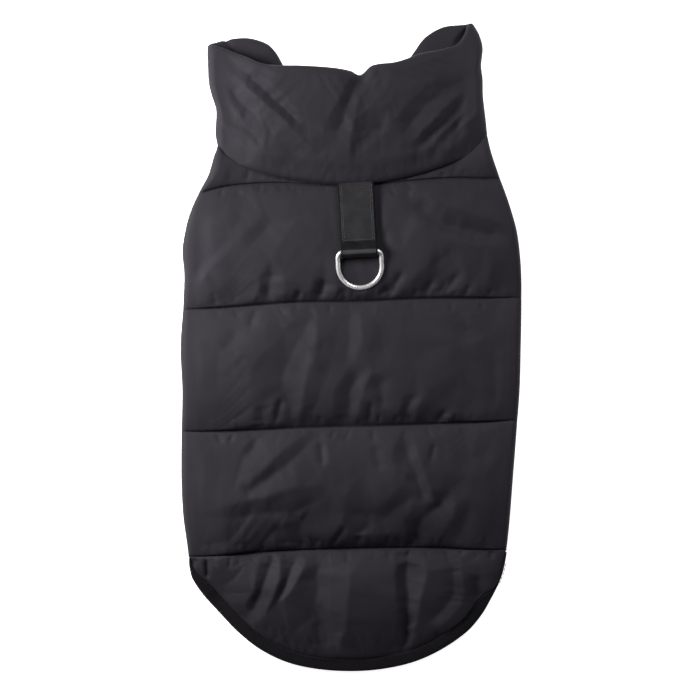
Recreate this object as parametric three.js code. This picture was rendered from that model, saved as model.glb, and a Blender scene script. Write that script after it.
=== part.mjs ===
// Padded dog coat, laid flat on a surface with its quilted back uppermost.
// +Y runs to the neck, +X to the coat's right as seen from above, +Z is up.
// The origin is the middle of the coat's outline, on the surface it lies on. Millimetres.
import * as THREE from "three";

// What sets the coat's thickness
const gap = 0.3; // between pieces at a seam
const bellyThickness = 4;
const shellThickness = 2.2; // the wall where it is sewn flat
const tierPuff = 6.8; // what the padding adds at the middle of a tier
const lipWidth = 14; // the back wraps this far under the belly side
const sideRadius = (bellyThickness + gap + shellThickness) / 2; // a side roll at a quilt line
const sideRadiusPuff = 2.2; // what the padding adds to that radius
const base = bellyThickness + gap; // the back's underside where it lies on the belly

// Left and right edges of the body, from the neck seam to the tail corners
const bodyEdges = [
  { y: 145, left: -92.4, right: 93.4 },
  { y: 138, left: -91.6, right: 94.8 },
  { y: 130, left: -94.1, right: 97 },
  { y: 118, left: -97.6, right: 101.2 },
  { y: 105, left: -104.6, right: 106 },
  { y: 93, left: -109.9, right: 109.9 },
  { y: 80, left: -113.4, right: 113.4 },
  { y: 66, left: -115.4, right: 115.4 },
  { y: 50, left: -114.2, right: 116.6 },
  { y: 30, left: -114.9, right: 116.8 },
  { y: 0, left: -116.7, right: 116.2 },
  { y: -30, left: -115.5, right: 115.4 },
  { y: -60, left: -116.1, right: 113.2 },
  { y: -90, left: -116.1, right: 110.8 },
  { y: -115, left: -114.9, right: 108.9 },
  { y: -135, left: -112.3, right: 107 },
  { y: -148, left: -110.9, right: 105.1 },
];

// Left and right edges of the collar, from the neck seam (up = 0) to its free edge (up = 1)
const collarEdges = [
  { up: 0, left: -91.6, right: 93.4 },
  { up: 0.12, left: -92.9, right: 92.4 },
  { up: 0.34, left: -92.2, right: 90.3 },
  { up: 0.5, left: -95.3, right: 90 },
  { up: 0.62, left: -97.2, right: 89 },
  { up: 0.78, left: -97.9, right: 90 },
  { up: 0.9, left: -98.2, right: 87.6 },
  { up: 1, left: -98.2, right: 83.2 },
];

// Lines that run across the coat: how far across (0 left, 1 right), and y there
const neckSeam = [
  { across: 0, y: 138.3 },
  { across: 0.03, y: 133 },
  { across: 0.1, y: 126.2 },
  { across: 0.2, y: 120.2 },
  { across: 0.31, y: 116.3 },
  { across: 0.42, y: 114.2 },
  { across: 0.53, y: 113.9 },
  { across: 0.68, y: 117.9 },
  { across: 0.83, y: 125.6 },
  { across: 0.94, y: 135.2 },
  { across: 1, y: 145.1 },
];
const yokeLine = [
  { across: 0, y: 104.6 },
  { across: 0.09, y: 110.1 },
  { across: 0.25, y: 112.6 },
  { across: 0.5, y: 110.8 },
  { across: 0.68, y: 113.6 },
  { across: 0.84, y: 116 },
  { across: 1, y: 115 },
];
const chestLine = [
  { across: 0, y: 25.6 },
  { across: 0.2, y: 28.4 },
  { across: 0.35, y: 30.8 },
  { across: 0.52, y: 31.1 },
  { across: 0.7, y: 33.2 },
  { across: 1, y: 33.9 },
];
const waistLine = [
  { across: 0, y: -57.8 },
  { across: 0.2, y: -56.8 },
  { across: 0.41, y: -54.8 },
  { across: 0.65, y: -53.4 },
  { across: 1, y: -49.9 },
];
const tailLine = [
  { across: 0, y: -143.4 },
  { across: 0.12, y: -142 },
  { across: 0.35, y: -139.3 },
  { across: 0.68, y: -137.6 },
  { across: 1, y: -138.4 },
];
const collarNearTop = [
  { across: 0, y: 207.7 },
  { across: 0.053, y: 204.2 },
  { across: 0.151, y: 197.4 },
  { across: 0.205, y: 193.6 },
  { across: 0.35, y: 192.9 },
  { across: 0.46, y: 191.9 },
  { across: 0.54, y: 189.1 },
  { across: 0.578, y: 186 },
  { across: 0.62, y: 193 },
  { across: 0.773, y: 198.8 },
  { across: 0.905, y: 203.6 },
  { across: 0.951, y: 207.7 },
  { across: 1, y: 222.4 },
];
const collarFarTop = [
  { across: 0, y: 207.7 },
  { across: 0.053, y: 211.1 },
  { across: 0.121, y: 212.5 },
  { across: 0.159, y: 211.8 },
  { across: 0.205, y: 207.7 },
  { across: 0.265, y: 193.3 },
  { across: 0.38, y: 173 },
  { across: 0.5, y: 165 },
  { across: 0.64, y: 173 },
  { across: 0.769, y: 198.8 },
  { across: 0.818, y: 211.1 },
  { across: 0.886, y: 219.2 },
  { across: 0.955, y: 221.6 },
  { across: 1, y: 222.4 },
];
const chestScoop = 23; // the neckline is this much lower at the chest than at the nape
const scoopStart = 0.08; // how far across the scoop begins

// The tail flap's outline, round the outside of its binding
const tailOutline = [
  { x: -110.8, y: -150.2 },
  { x: -108.5, y: -158.5 },
  { x: -100.3, y: -170.9 },
  { x: -89.3, y: -183.2 },
  { x: -77.6, y: -195.4 },
  { x: -62.5, y: -207.3 },
  { x: -44, y: -216.2 },
  { x: -24, y: -220.8 },
  { x: -1.4, y: -222.4 },
  { x: 20.6, y: -221 },
  { x: 42.6, y: -216.2 },
  { x: 61.8, y: -207.6 },
  { x: 79.7, y: -195.2 },
  { x: 90, y: -183.2 },
  { x: 96.9, y: -170.9 },
  { x: 102.4, y: -158.5 },
  { x: 104.8, y: -150.2 },
];
const bindingWidth = 9;
const bindingThickness = 3.2;

// The belly side: its hem is an arch, and a leg hole is cut at each side seam
const bellyHemMiddle = -84;
const bellyHemDrop = 52; // how much lower the hem is at the side seams
const bellyHemHalf = 97; // half its width
const legHole = { y: 74, halfLength: 34, depth: 32, intoLip: 6, binding: 5 };

// The largest folds, as troughs (depth over 0) or ridges (under 0), from one end to the other
const folds = [
  { x1: 42, y1: 102, x2: 62, y2: 84, width: 6, depth: 2.6 },
  { x1: 60, y1: 84, x2: 108, y2: 76, width: 6, depth: 2.2 },
  { x1: 70, y1: 76, x2: 104, y2: 66, width: 8, depth: -1.4 },
  { x1: -52, y1: 99, x2: -76, y2: 72, width: 8, depth: 1.2 },
  { x1: -60, y1: 62, x2: -62, y2: 33, width: 6, depth: 2.2 },
  { x1: 5.5, y1: 68, x2: 7, y2: 40, width: 19, depth: 1.7 },
  { x1: -20, y1: 26, x2: -47, y2: -14, width: 8, depth: -2.2 },
  { x1: -38, y1: 20, x2: -62, y2: -30, width: 9, depth: 1.8 },
  { x1: -40, y1: -20, x2: -38, y2: -52, width: 6, depth: 1.8 },
  { x1: 8, y1: -12, x2: -4, y2: -50, width: 7, depth: 2.2 },
  { x1: -30, y1: -62, x2: -70, y2: -98, width: 7, depth: -2 },
  { x1: -88, y1: -116, x2: -24, y2: -96, width: 8, depth: 2.8 },
  { x1: -10, y1: -102, x2: -28, y2: -136, width: 9, depth: -2.2 },
  { x1: 36, y1: -66, x2: 40, y2: -106, width: 7, depth: 2 },
  { x1: 56, y1: -113, x2: 42, y2: -138, width: 6, depth: 2.8 },
  { x1: 39, y1: -142, x2: 35, y2: -212, width: 5, depth: 3.2 },
  { x1: -52, y1: -146, x2: -62, y2: -184, width: 6, depth: 2.4 },
  { x1: -12, y1: -148, x2: -18, y2: -206, width: 9, depth: -1.8 },
  { x1: 68, y1: -160, x2: 58, y2: -200, width: 7, depth: -1.8 },
  { x1: -78, y1: 190, x2: -56, y2: 160, width: 5, depth: 3 },
  { x1: -86, y1: 174, x2: -62, y2: 150, width: 5, depth: 2.6 },
  { x1: -68, y1: 180, x2: -40, y2: 140, width: 7, depth: -2 },
  { x1: 6, y1: 187, x2: -8, y2: 146, width: 6, depth: 3 },
  { x1: 88, y1: 186, x2: 44, y2: 134, width: 6, depth: 3.6 },
  { x1: 84, y1: 168, x2: 58, y2: 138, width: 5, depth: 2.6 },
];

// The leash tab and its ring
const tab = { topX: 3.1, topY: 112.3, tilt: 3, length: 47.5, width: 25, thickness: 2.9, clearance: 0.5 };
const ring = { wire: 1.55, halfWidth: 14.8, straight: 10.2, corner: 4, eye: 2.6, loop: 4.2, droop: 13 };

const materials = {
  shell: { color: 0x2b2a2e, roughness: 0.55, metalness: 0 },
  knit: { color: 0x17171a, roughness: 0.9, metalness: 0 },
  webbing: { color: 0x232426, roughness: 0.6, metalness: 0 },
  steel: { color: 0xd8d8da, roughness: 0.15, metalness: 1 },
};

const lerp = THREE.MathUtils.lerp;
const clamp = THREE.MathUtils.clamp;
const radians = THREE.MathUtils.degToRad;
const smooth = (t) => clamp(t, 0, 1) ** 2 * (3 - 2 * clamp(t, 0, 1));
const steps = (count) => Array.from({ length: count + 1 }, (_, i) => i / count);

// A smooth curve through a table's rows: value(key) gives table[column] there
function through(table, key, column) {
  const slope = table.map((row, i) => {
    const before = table[Math.max(i - 1, 0)];
    const after = table[Math.min(i + 1, table.length - 1)];
    return (after[column] - before[column]) / (after[key] - before[key]);
  });
  const rising = table[1][key] > table[0][key];
  return (at) => {
    let i = 0;
    while (i < table.length - 2 && (rising ? at > table[i + 1][key] : at < table[i + 1][key])) i++;
    const [a, b] = [table[i], table[i + 1]];
    const span = b[key] - a[key];
    const t = clamp((at - a[key]) / span, 0, 1);
    return (
      a[column] * (1 + 2 * t) * (1 - t) ** 2 +
      slope[i] * span * t * (1 - t) ** 2 +
      b[column] * t * t * (3 - 2 * t) +
      slope[i + 1] * span * t * t * (t - 1)
    );
  };
}

const leftEdge = through(bodyEdges, "y", "left");
const rightEdge = through(bodyEdges, "y", "right");
const seamLines = [neckSeam, yokeLine, chestLine, waistLine, tailLine].map((table) =>
  through(table, "across", "y"),
);
const [neckY] = seamLines;
const tailY = seamLines.at(-1);

// A solid from its points and its quads or triangles, turned to face outwards
function solid(points, faces, name, material) {
  const index = faces.flatMap((f) => (f.length === 4 ? [f[0], f[1], f[2], f[0], f[2], f[3]] : f));
  let volume = 0;
  for (let i = 0; i < index.length; i += 3) {
    const [a, b, c] = index.slice(i, i + 3).map((n) => points[n]);
    volume += a.dot(b.clone().cross(c));
  }
  if (volume < 0) index.reverse();
  const geometry = new THREE.BufferGeometry().setFromPoints(points);
  geometry.setIndex(index);
  geometry.computeVertexNormals();
  const mesh = new THREE.Mesh(geometry, new THREE.MeshStandardMaterial(materials[material]));
  mesh.name = name;
  return mesh;
}

// Faces between rows of rings with the same number of points; wrap closes the last row on the first
function ringFaces(rows, count, wrap = false) {
  const faces = [];
  for (let r = 0; r < rows - (wrap ? 0 : 1); r++)
    for (let i = 0; i < count; i++) {
      const next = (i + 1) % count;
      const above = ((r + 1) % rows) * count;
      faces.push([r * count + i, r * count + next, above + next, above + i]);
    }
  return faces;
}

// Triangles across a section whose first points run out along one side and the rest back along the other
function capFaces(section, outward) {
  const faces = [];
  let i = 0;
  let j = section.length - 1;
  while (i < outward - 1 || j > outward) {
    const onward = i < outward - 1 ? section[i + 1].distanceTo(section[j]) : Infinity;
    const back = j > outward ? section[j - 1].distanceTo(section[i]) : Infinity;
    if (onward < back) {
      faces.push([i, i + 1, j]);
      i++;
    } else {
      faces.push([i, j - 1, j]);
      j--;
    }
  }
  return faces;
}

// A solid lofted through closed sections and capped at both ends
function loft(sections, outward, name, material) {
  const count = sections[0].length;
  const faces = ringFaces(sections.length, count);
  const last = (sections.length - 1) * count;
  capFaces(sections[0], outward).forEach(([a, b, c]) => faces.push([c, b, a]));
  capFaces(sections.at(-1), outward).forEach((f) => faces.push(f.map((n) => last + n)));
  return solid(sections.flat(), faces, name, material);
}

// A solid between a grid's upper and lower points
function slab(upper, lower, name, material) {
  const rows = upper.length;
  const columns = upper[0].length;
  const points = [...upper.flat(), ...lower.flat()];
  const at = (r, c) => r * columns + c;
  const under = (r, c) => rows * columns + at(r, c);
  const faces = [];
  for (let r = 0; r < rows - 1; r++)
    for (let c = 0; c < columns - 1; c++) {
      faces.push([at(r, c), at(r, c + 1), at(r + 1, c + 1), at(r + 1, c)]);
      faces.push([under(r, c), under(r + 1, c), under(r + 1, c + 1), under(r, c + 1)]);
    }
  for (let c = 0; c < columns - 1; c++) {
    faces.push([at(0, c), under(0, c), under(0, c + 1), at(0, c + 1)]);
    faces.push([at(rows - 1, c), at(rows - 1, c + 1), under(rows - 1, c + 1), under(rows - 1, c)]);
  }
  for (let r = 0; r < rows - 1; r++) {
    faces.push([at(r, 0), at(r + 1, 0), under(r + 1, 0), under(r, 0)]);
    faces.push([at(r, columns - 1), under(r, columns - 1), under(r + 1, columns - 1), at(r + 1, columns - 1)]);
  }
  return solid(points, faces, name, material);
}

// How much the folds lower the cloth at a point
function foldDepth(x, y) {
  let sum = 0;
  for (const f of folds) {
    const along = new THREE.Vector2(f.x2 - f.x1, f.y2 - f.y1);
    const t = clamp(((x - f.x1) * along.x + (y - f.y1) * along.y) / along.lengthSq(), 0, 1);
    const away = Math.hypot(x - f.x1 - t * along.x, y - f.y1 - t * along.y);
    sum += f.depth * Math.sqrt(Math.sin(Math.PI * clamp(t, 0.04, 0.96))) * Math.exp(-((away / f.width) ** 2));
  }
  return sum;
}

const bellyHemY = (x) => bellyHemMiddle - bellyHemDrop * Math.abs(x / bellyHemHalf) ** 2.2;

// What the back lies on: the belly side, and past its hem the surface below
function restHeight(x, y) {
  const inArch = clamp(x, -bellyHemHalf, bellyHemHalf);
  const slope = bellyHemY(inArch + 0.5) - bellyHemY(inArch - 0.5);
  const pastHem = (bellyHemY(inArch) - y) / Math.hypot(1, slope) - bindingWidth;
  return base * (1 - smooth(pastHem / 22));
}

const puffShape = (f) => Math.sin(Math.PI * clamp(f, 0, 1)) ** 0.6;
const puffHeight = (span) => tierPuff * clamp(span / 55, 0, 1);

// A point of the back by how far across it is, its tier, and how far down the tier
function backPoint(across, tier, down) {
  const rowY = (a) => lerp(seamLines[tier](a), seamLines[tier + 1](a), down);
  const x = lerp(leftEdge(rowY(0)), rightEdge(rowY(1)), across);
  return { x, y: rowY(across), span: seamLines[tier](across) - seamLines[tier + 1](across) };
}

// The back's upper surface at such a point
function backTop(across, tier, down) {
  const { x, y, span } = backPoint(across, tier, down);
  const puff = puffShape(down);
  const low = restHeight(x, y);
  const middle = low + shellThickness + puffHeight(span) * puff - foldDepth(x, y) * puff;
  const edge = Math.min(x - leftEdge(y), rightEdge(y) - x);
  const sideTop = 2 * sideRoll(puff);
  return Math.max(lerp(sideTop, middle, smooth(edge / 30)), low + shellThickness * 0.8);
}

const rollAngles = [-90, -45, 0, 45, 90]; // round a side roll, from under it to the top
const sideRoll = (puff) => sideRadius + sideRadiusPuff * puff;
const acrossTop = (radius, width) => steps(25).map((s) => lerp(radius + 4, width - radius - 4, s) / width);

// How far the back's lip reaches under, less at the leg holes
function lipAt(y) {
  const t = clamp((y - legHole.y) / legHole.halfLength, -1, 1);
  return lipWidth - legHole.intoLip * Math.cos((Math.PI * t) / 2) ** 2;
}

// One section of the back: out along the top from the left lip to the right, and back inside
function backSection(tier, down) {
  const rowY = (a) => lerp(seamLines[tier](a), seamLines[tier + 1](a), down);
  const ends = [leftEdge(rowY(0)), rightEdge(rowY(1))];
  const width = ends[1] - ends[0];
  const r = sideRoll(puffShape(down));
  const t = shellThickness;
  const lip = [lipAt(rowY(0)), lipAt(rowY(1))];
  const outer = [];
  const inner = [];
  const roll = (radius, angles) =>
    angles.map((a) => [r - radius * Math.cos(radians(a)), r + radius * Math.sin(radians(a))]);
  const side = roll(r, rollAngles);
  const sideIn = roll(r - t, [-90, 0, 90]);
  const put = (list, fromLeft, z) => list.push([fromLeft / width, z]);
  put(outer, lip[0], 0);
  side.forEach(([d, z]) => put(outer, d, z));
  acrossTop(r, width).forEach((across) => outer.push([across, backTop(across, tier, down)]));
  side.toReversed().forEach(([d, z]) => put(outer, width - d, z));
  put(outer, width - lip[1], 0);
  put(inner, width - lip[1], t);
  sideIn.forEach(([d, z]) => put(inner, width - d, z));
  acrossTop(r, width).toReversed().forEach((across) => {
    const { x, y } = backPoint(across, tier, down);
    inner.push([across, restHeight(x, y)]);
  });
  sideIn.toReversed().forEach(([d, z]) => put(inner, d, z));
  put(inner, lip[0], t);
  const points = [...outer, ...inner].map(([a, z]) => new THREE.Vector3(lerp(ends[0], ends[1], a), rowY(a), z));
  return { points, outward: outer.length };
}

// The quilted back with its yoke, from the neck seam to the tail seam
const backRows = [3, 8, 8, 8].flatMap((count, tier, all) =>
  steps(count).slice(0, tier === all.length - 1 ? undefined : -1).map((down) => backSection(tier, down)),
);
const makeBack = () => loft(backRows.map((r) => r.points), backRows[0].outward, "back", "shell");

// The back's lip under one side seam: x of its edge at y, from the back's own points
function lipEdge(side) {
  const edge = backRows.map(({ points, outward }) => points[side < 0 ? 0 : outward - 1]);
  return (y) => {
    let i = 0;
    while (i < edge.length - 2 && y < edge[i + 1].y) i++;
    return lerp(edge[i].x, edge[i + 1].x, clamp((y - edge[i].y) / (edge[i + 1].y - edge[i].y), 0, 1));
  };
}
const lipEdges = { "-1": lipEdge(-1), 1: lipEdge(1) };
const underSeam = (side, y) => lipEdges[side](y) - side * gap; // the belly side's edge, just inside the lip

// Points along a curve at equal distances, with the direction square to it on its inner side
function alongCurve(points, count) {
  const curve = new THREE.CatmullRomCurve3(points.map((p) => new THREE.Vector3(p.x, p.y, 0)), false, "centripetal");
  return curve.getSpacedPoints(count).map((point, i) => {
    const direction = curve.getTangentAt(i / count);
    return { point, inward: new THREE.Vector3(-direction.y, direction.x, 0) };
  });
}

const tailStations = 36;
const tailEdge = alongCurve(tailOutline, tailStations);

// The binding narrows where it turns under the side seams
const bindingAt = (s) => lerp(2, bindingWidth, smooth(Math.min(s, 1 - s) / 0.09));

// The padded flap over the rump, from the tail seam to its binding
function makeTailFlap() {
  const rows = steps(9).map((down) =>
    tailEdge.map(({ point, inward }, i) => {
      const across = i / tailStations;
      const width = rightEdge(tailY(1)) - leftEdge(tailY(0));
      const startX = leftEdge(tailY(0)) + across * width;
      const end = point.clone().addScaledVector(inward, bindingAt(across) + gap);
      const at = new THREE.Vector3(startX, tailY(across) - gap, 0).lerp(end, down);
      const span = Math.hypot(startX - end.x, tailY(across) - end.y);
      const low = restHeight(at.x, at.y);
      const puff = puffShape(down) * clamp(Math.min(across, 1 - across) / 0.1, 0, 1) ** 0.5;
      const top = low + shellThickness + (puffHeight(span) - foldDepth(at.x, at.y)) * puff;
      return { at, low, top: Math.max(top, low + shellThickness * 0.8) };
    }),
  );
  const height = (p, z) => new THREE.Vector3(p.at.x, p.at.y, z);
  return slab(
    rows.map((row) => row.map((p) => height(p, p.top))),
    rows.map((row) => row.map((p) => height(p, p.low))),
    "tail_flap",
    "shell",
  );
}

// A strip of binding: stations hold an outer point, the inward direction and the width there
function makeStrip(stations, thickness, name, closed = false) {
  const profile = [
    [1, 0],
    [1, 0.75],
    [0.75, 1],
    [0.25, 1],
    [0.05, 0.7],
    [0, 0.4],
    [0.06, 0.1],
    [0.15, 0],
  ];
  const sections = stations.map(({ point, inward, width, low = 0 }) =>
    profile.map(([w, h]) => point.clone().addScaledVector(inward, w * width).setZ(low + h * thickness)),
  );
  if (closed) return solid(sections.flat(), ringFaces(sections.length, profile.length, true), name, "knit");
  return loft(sections, profile.length / 2, name, "knit");
}

function makeTailBinding() {
  const stations = tailEdge.map(({ point, inward }, i) => {
    const width = bindingAt(i / tailStations);
    const middle = point.clone().addScaledVector(inward, width / 2);
    return { point, inward, width, low: restHeight(middle.x, middle.y) };
  });
  return makeStrip(stations, bindingThickness, "tail_binding");
}

// The belly side's edge down one side: from the neck past the leg hole to the hem
function bellySide(side) {
  const top = neckCorners[side < 0 ? 0 : 1];
  const holeTop = legHole.y + legHole.halfLength;
  const holeBottom = legHole.y - legHole.halfLength;
  const hem = steps(6).reduce((y) => bellyHemY(underSeam(side, y)), bellyHemMiddle - bellyHemDrop);
  const onSeam = (y) => ({ x: underSeam(side, y), y });
  const shoulder = steps(5).slice(0, -1).map((s) => onSeam(lerp(top, holeTop, s)));
  const flank = steps(8).slice(1).map((s) => onSeam(lerp(holeBottom, hem, s)));
  return [...shoulder, ...legHoleInner(side, 0), ...flank];
}

// A leg hole's edge on the belly side, narrowing where it meets the side seam
const legHoleInner = (side, inset) =>
  steps(10).map((s) => {
    const angle = lerp(Math.PI / 2, -Math.PI / 2, s);
    const y = legHole.y + (legHole.halfLength - inset) * Math.sin(angle);
    return { x: underSeam(side, y) - side * (legHole.depth - inset) * Math.cos(angle) ** 1.6, y };
  });

// How much lower the neckline is at the chest than the neck seam at the nape
function scoop(across) {
  const t = clamp((across - scoopStart) / (1 - 2 * scoopStart), 0, 1);
  return chestScoop * Math.sin(Math.PI * t) ** 2;
}

const neckCorners = [scoopStart, 1 - scoopStart].map((across) => neckY(across) - gap);
const chestColumns = steps(18).map((a) => lerp(scoopStart, 1 - scoopStart, a));

// The belly side, flat on the surface
function makeBelly() {
  const [left, right] = [bellySide(-1), bellySide(1)];
  const rows = left.length - 1;
  const grid = left.map((l, i) => {
    const r = right[i];
    const down = i / rows;
    return steps(18).map((a, column) => {
      const across = chestColumns[column];
      const neckDrop = neckY(across) - scoop(across) - gap - lerp(left[0].y, right[0].y, a);
      const hemX = lerp(left.at(-1).x, right.at(-1).x, a);
      const hemRise = bellyHemY(hemX) - lerp(left.at(-1).y, right.at(-1).y, a);
      const x = lerp(l.x, r.x, a);
      const y = lerp(l.y, r.y, a) + (1 - down) ** 1.3 * neckDrop + down ** 1.5 * hemRise;
      const inset = Math.min(a, 1 - a) * (r.x - l.x);
      const full = smooth(inset / 12) * smooth(down * 8) * smooth((1 - down) * 8);
      return { x, y, top: lerp(shellThickness, bellyThickness, full) };
    });
  });
  const height = (p, z) => new THREE.Vector3(p.x, p.y, z);
  const belly = slab(
    grid.map((row) => row.map((p) => height(p, p.top))),
    grid.map((row) => row.map((p) => height(p, 0))),
    "belly",
    "shell",
  );
  return { belly, hem: grid.at(-1) };
}

function makeBellyBinding(hem) {
  const curve = alongCurve(hem, 24);
  const stations = curve.map(({ point, inward }) => ({
    point: point.clone().addScaledVector(inward, -bindingWidth),
    inward,
    width: bindingWidth - gap * 1.5,
  }));
  return makeStrip(stations, bindingThickness, "belly_binding");
}

// The binding round one leg hole
function makeLegBinding(side, name) {
  const outline = legHoleInner(side, gap);
  const { x } = outline[0];
  const centre = { x: x - side * 11, y: legHole.y };
  steps(9).slice(1, -1).forEach((s) => {
    const y = legHole.y + (legHole.halfLength - 1.5) * (2 * s - 1);
    outline.push({ x: lipEdges[side](y) - side * 0.5, y });
  });
  const stations = outline.map((p) => {
    const point = new THREE.Vector3(p.x, p.y, 0);
    const inward = new THREE.Vector3(centre.x - p.x, centre.y - p.y, 0).normalize();
    return { point, inward, width: legHole.binding };
  });
  return makeStrip(stations, bindingThickness - 0.6, name, true);
}

// The standing collar: a flattened tube from the neck seam to its free edge
const collarLeft = through(collarEdges, "up", "left");
const collarRight = through(collarEdges, "up", "right");
const nearTop = through(collarNearTop, "across", "y");
const farTop = through(collarFarTop, "across", "y");
const collarWall = through(
  [
    { up: 0, near: shellThickness },
    { up: 0.05, near: 6 },
    { up: 0.13, near: 8.6 },
    { up: 0.45, near: 9.2 },
    { up: 0.85, near: 7.4 },
    { up: 0.95, near: 5 },
    { up: 1, near: 2.8 },
  ],
  "up",
  "near",
);
const farWall = through([{ up: 0, t: 2.6 }, { up: 0.15, t: 3.7 }, { up: 0.85, t: 3.7 }, { up: 1, t: 2.4 }], "up", "t");
const mouthHeight = 15; // how far the near side stands off the far side at the free edge

// How far the collar's near side stands off its far side
function collarMouth(across, up) {
  const lobes = Math.sin(Math.PI * clamp(across, 0, 1)) ** 0.8;
  const crease = 0.35 * Math.exp(-(((across - 0.575) / 0.06) ** 2));
  return mouthHeight * up ** 1.3 * lobes * (1 - crease * up);
}

function collarLoop(up) {
  const [x0, x1] = [collarLeft(up), collarRight(up)];
  const width = x1 - x0;
  const near = collarWall(up);
  const far = farWall(up);
  const radius = lerp(sideRadius, 6.6, smooth(up / 0.3));
  const bulge = 5 * (up / 0.06) * Math.exp(1 - up / 0.06); // the padding hangs over the neck seam
  const nearY = (a) => lerp(neckY(a) + gap, nearTop(a), up);
  const overhang = (a) => bulge * smooth(Math.min(a, 1 - a) / 0.1);
  const farY = (a) => lerp(neckY(a) - scoop(a) + gap, farTop(a), up);
  const outer = [];
  const inner = [];
  const put = (list, across, y, z) => list.push(new THREE.Vector3(x0 + across * width, y, z));
  const underNear = (a) => base + 1.2 * smooth(up / 0.2) + collarMouth(a, up);
  const topNear = (a) => {
    const [x, y] = [x0 + a * width, nearY(a)];
    const lift = smooth(up / 0.15);
    return underNear(a) + near - foldDepth(x, y) * lift * clamp((1 - up) / 0.1 + 0.3, 0, 1);
  };
  const foldUnder = 2 * radius - Math.min(near, radius);
  const inside = (foldUnder - far) / 2;
  acrossTop(radius, width).forEach((a) => {
    const blend = smooth((Math.min(a, 1 - a) * width - radius) / 24);
    put(outer, a, nearY(a) - overhang(a), lerp(2 * radius, topNear(a), blend));
    put(inner, a, nearY(a), lerp(foldUnder, underNear(a), blend));
  });
  const turn = (place, angles) =>
    angles.forEach((angle) => {
      const [c, s] = [Math.cos(radians(angle)), Math.sin(radians(angle))];
      const rowY = angle < 0 ? farY : nearY;
      const [out, within] = [place(radius - radius * c), place(radius - inside * c)];
      put(outer, out, rowY(out), radius + radius * s);
      put(inner, within, rowY(within), far + inside + inside * s);
    });
  turn((d) => 1 - d / width, rollAngles.toReversed());
  chestColumns.toReversed().forEach((a) => {
    put(outer, a, farY(a), 0);
    put(inner, a, farY(a), far);
  });
  turn((d) => d / width, rollAngles);
  return { outer, inner };
}

function makeCollar() {
  const ups = [0, 0.05, 0.13, 0.25, 0.4, 0.55, 0.7, 0.84, 0.94, 1];
  const loops = ups.map(collarLoop);
  const count = loops[0].outer.length;
  const rings = [...loops.map((l) => l.outer), ...loops.map((l) => l.inner).toReversed()];
  const wrapped = rings.length;
  return solid(rings.flat(), ringFaces(wrapped, count, true), "collar", "shell");
}

// Where a point of the plan lies on the back, as far across, tier and down it
function onBack(x, y) {
  let across = (x - leftEdge(y)) / (rightEdge(y) - leftEdge(y));
  let place = { tier: 0, down: 0 };
  for (let turn = 0; turn < 4; turn++) {
    let tier = 0;
    while (tier < seamLines.length - 2 && y < seamLines[tier + 1](across)) tier++;
    const down = clamp(
      (seamLines[tier](across) - y) / (seamLines[tier](across) - seamLines[tier + 1](across)),
      0,
      1,
    );
    const rowY = (a) => lerp(seamLines[tier](a), seamLines[tier + 1](a), down);
    across = (x - leftEdge(rowY(0))) / (rightEdge(rowY(1)) - leftEdge(rowY(0)));
    place = { tier, down };
  }
  return backTop(across, place.tier, place.down);
}

const tabDown = new THREE.Vector3(Math.sin(radians(tab.tilt)), -Math.cos(radians(tab.tilt)), 0);
const tabAcross = new THREE.Vector3(Math.cos(radians(tab.tilt)), Math.sin(radians(tab.tilt)), 0);
const tabPoint = (s, w) =>
  new THREE.Vector3(tab.topX, tab.topY, 0).addScaledVector(tabDown, s).addScaledVector(tabAcross, w);

// The highest that the back stands under the tab, at s along it
function underTab(s) {
  const heights = steps(6).flatMap((w) =>
    [-2, 0, 2].map((d) => {
      const p = tabPoint(s + d, (w - 0.5) * tab.width);
      return onBack(p.x, p.y);
    }),
  );
  return Math.max(...heights) + tab.clearance;
}

const barHeight = underTab(tab.length) + ring.loop;

// The folded webbing that holds the ring: a doubled strap that ends in a loop round the bar
function makeTab() {
  const outline = new THREE.Shape();
  const along = steps(8).map((s) => s * (tab.length - 6));
  along.forEach((s, i) => (i ? outline.lineTo(s, underTab(s)) : outline.moveTo(s, underTab(s))));
  const start = -115;
  const end = 118;
  steps(14).forEach((s) => {
    const angle = radians(lerp(start, end, s));
    outline.lineTo(tab.length + ring.loop * Math.cos(angle), barHeight + ring.loop * Math.sin(angle));
  });
  along.toReversed().forEach((s) => outline.lineTo(s, underTab(s) + tab.thickness));
  outline.holes.push(new THREE.Path().absarc(tab.length, barHeight, ring.eye, 0, 2 * Math.PI, true));
  const geometry = new THREE.ExtrudeGeometry(outline, {
    depth: tab.width,
    bevelEnabled: false,
    curveSegments: 6,
  });
  const place = new THREE.Matrix4().makeBasis(tabDown, new THREE.Vector3(0, 0, 1), tabAcross.clone().negate());
  const corner = tabPoint(0, tab.width / 2);
  place.setPosition(corner);
  geometry.applyMatrix4(place);
  const mesh = new THREE.Mesh(geometry, new THREE.MeshStandardMaterial(materials.webbing));
  mesh.name = "leash_tab";
  return mesh;
}

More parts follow.
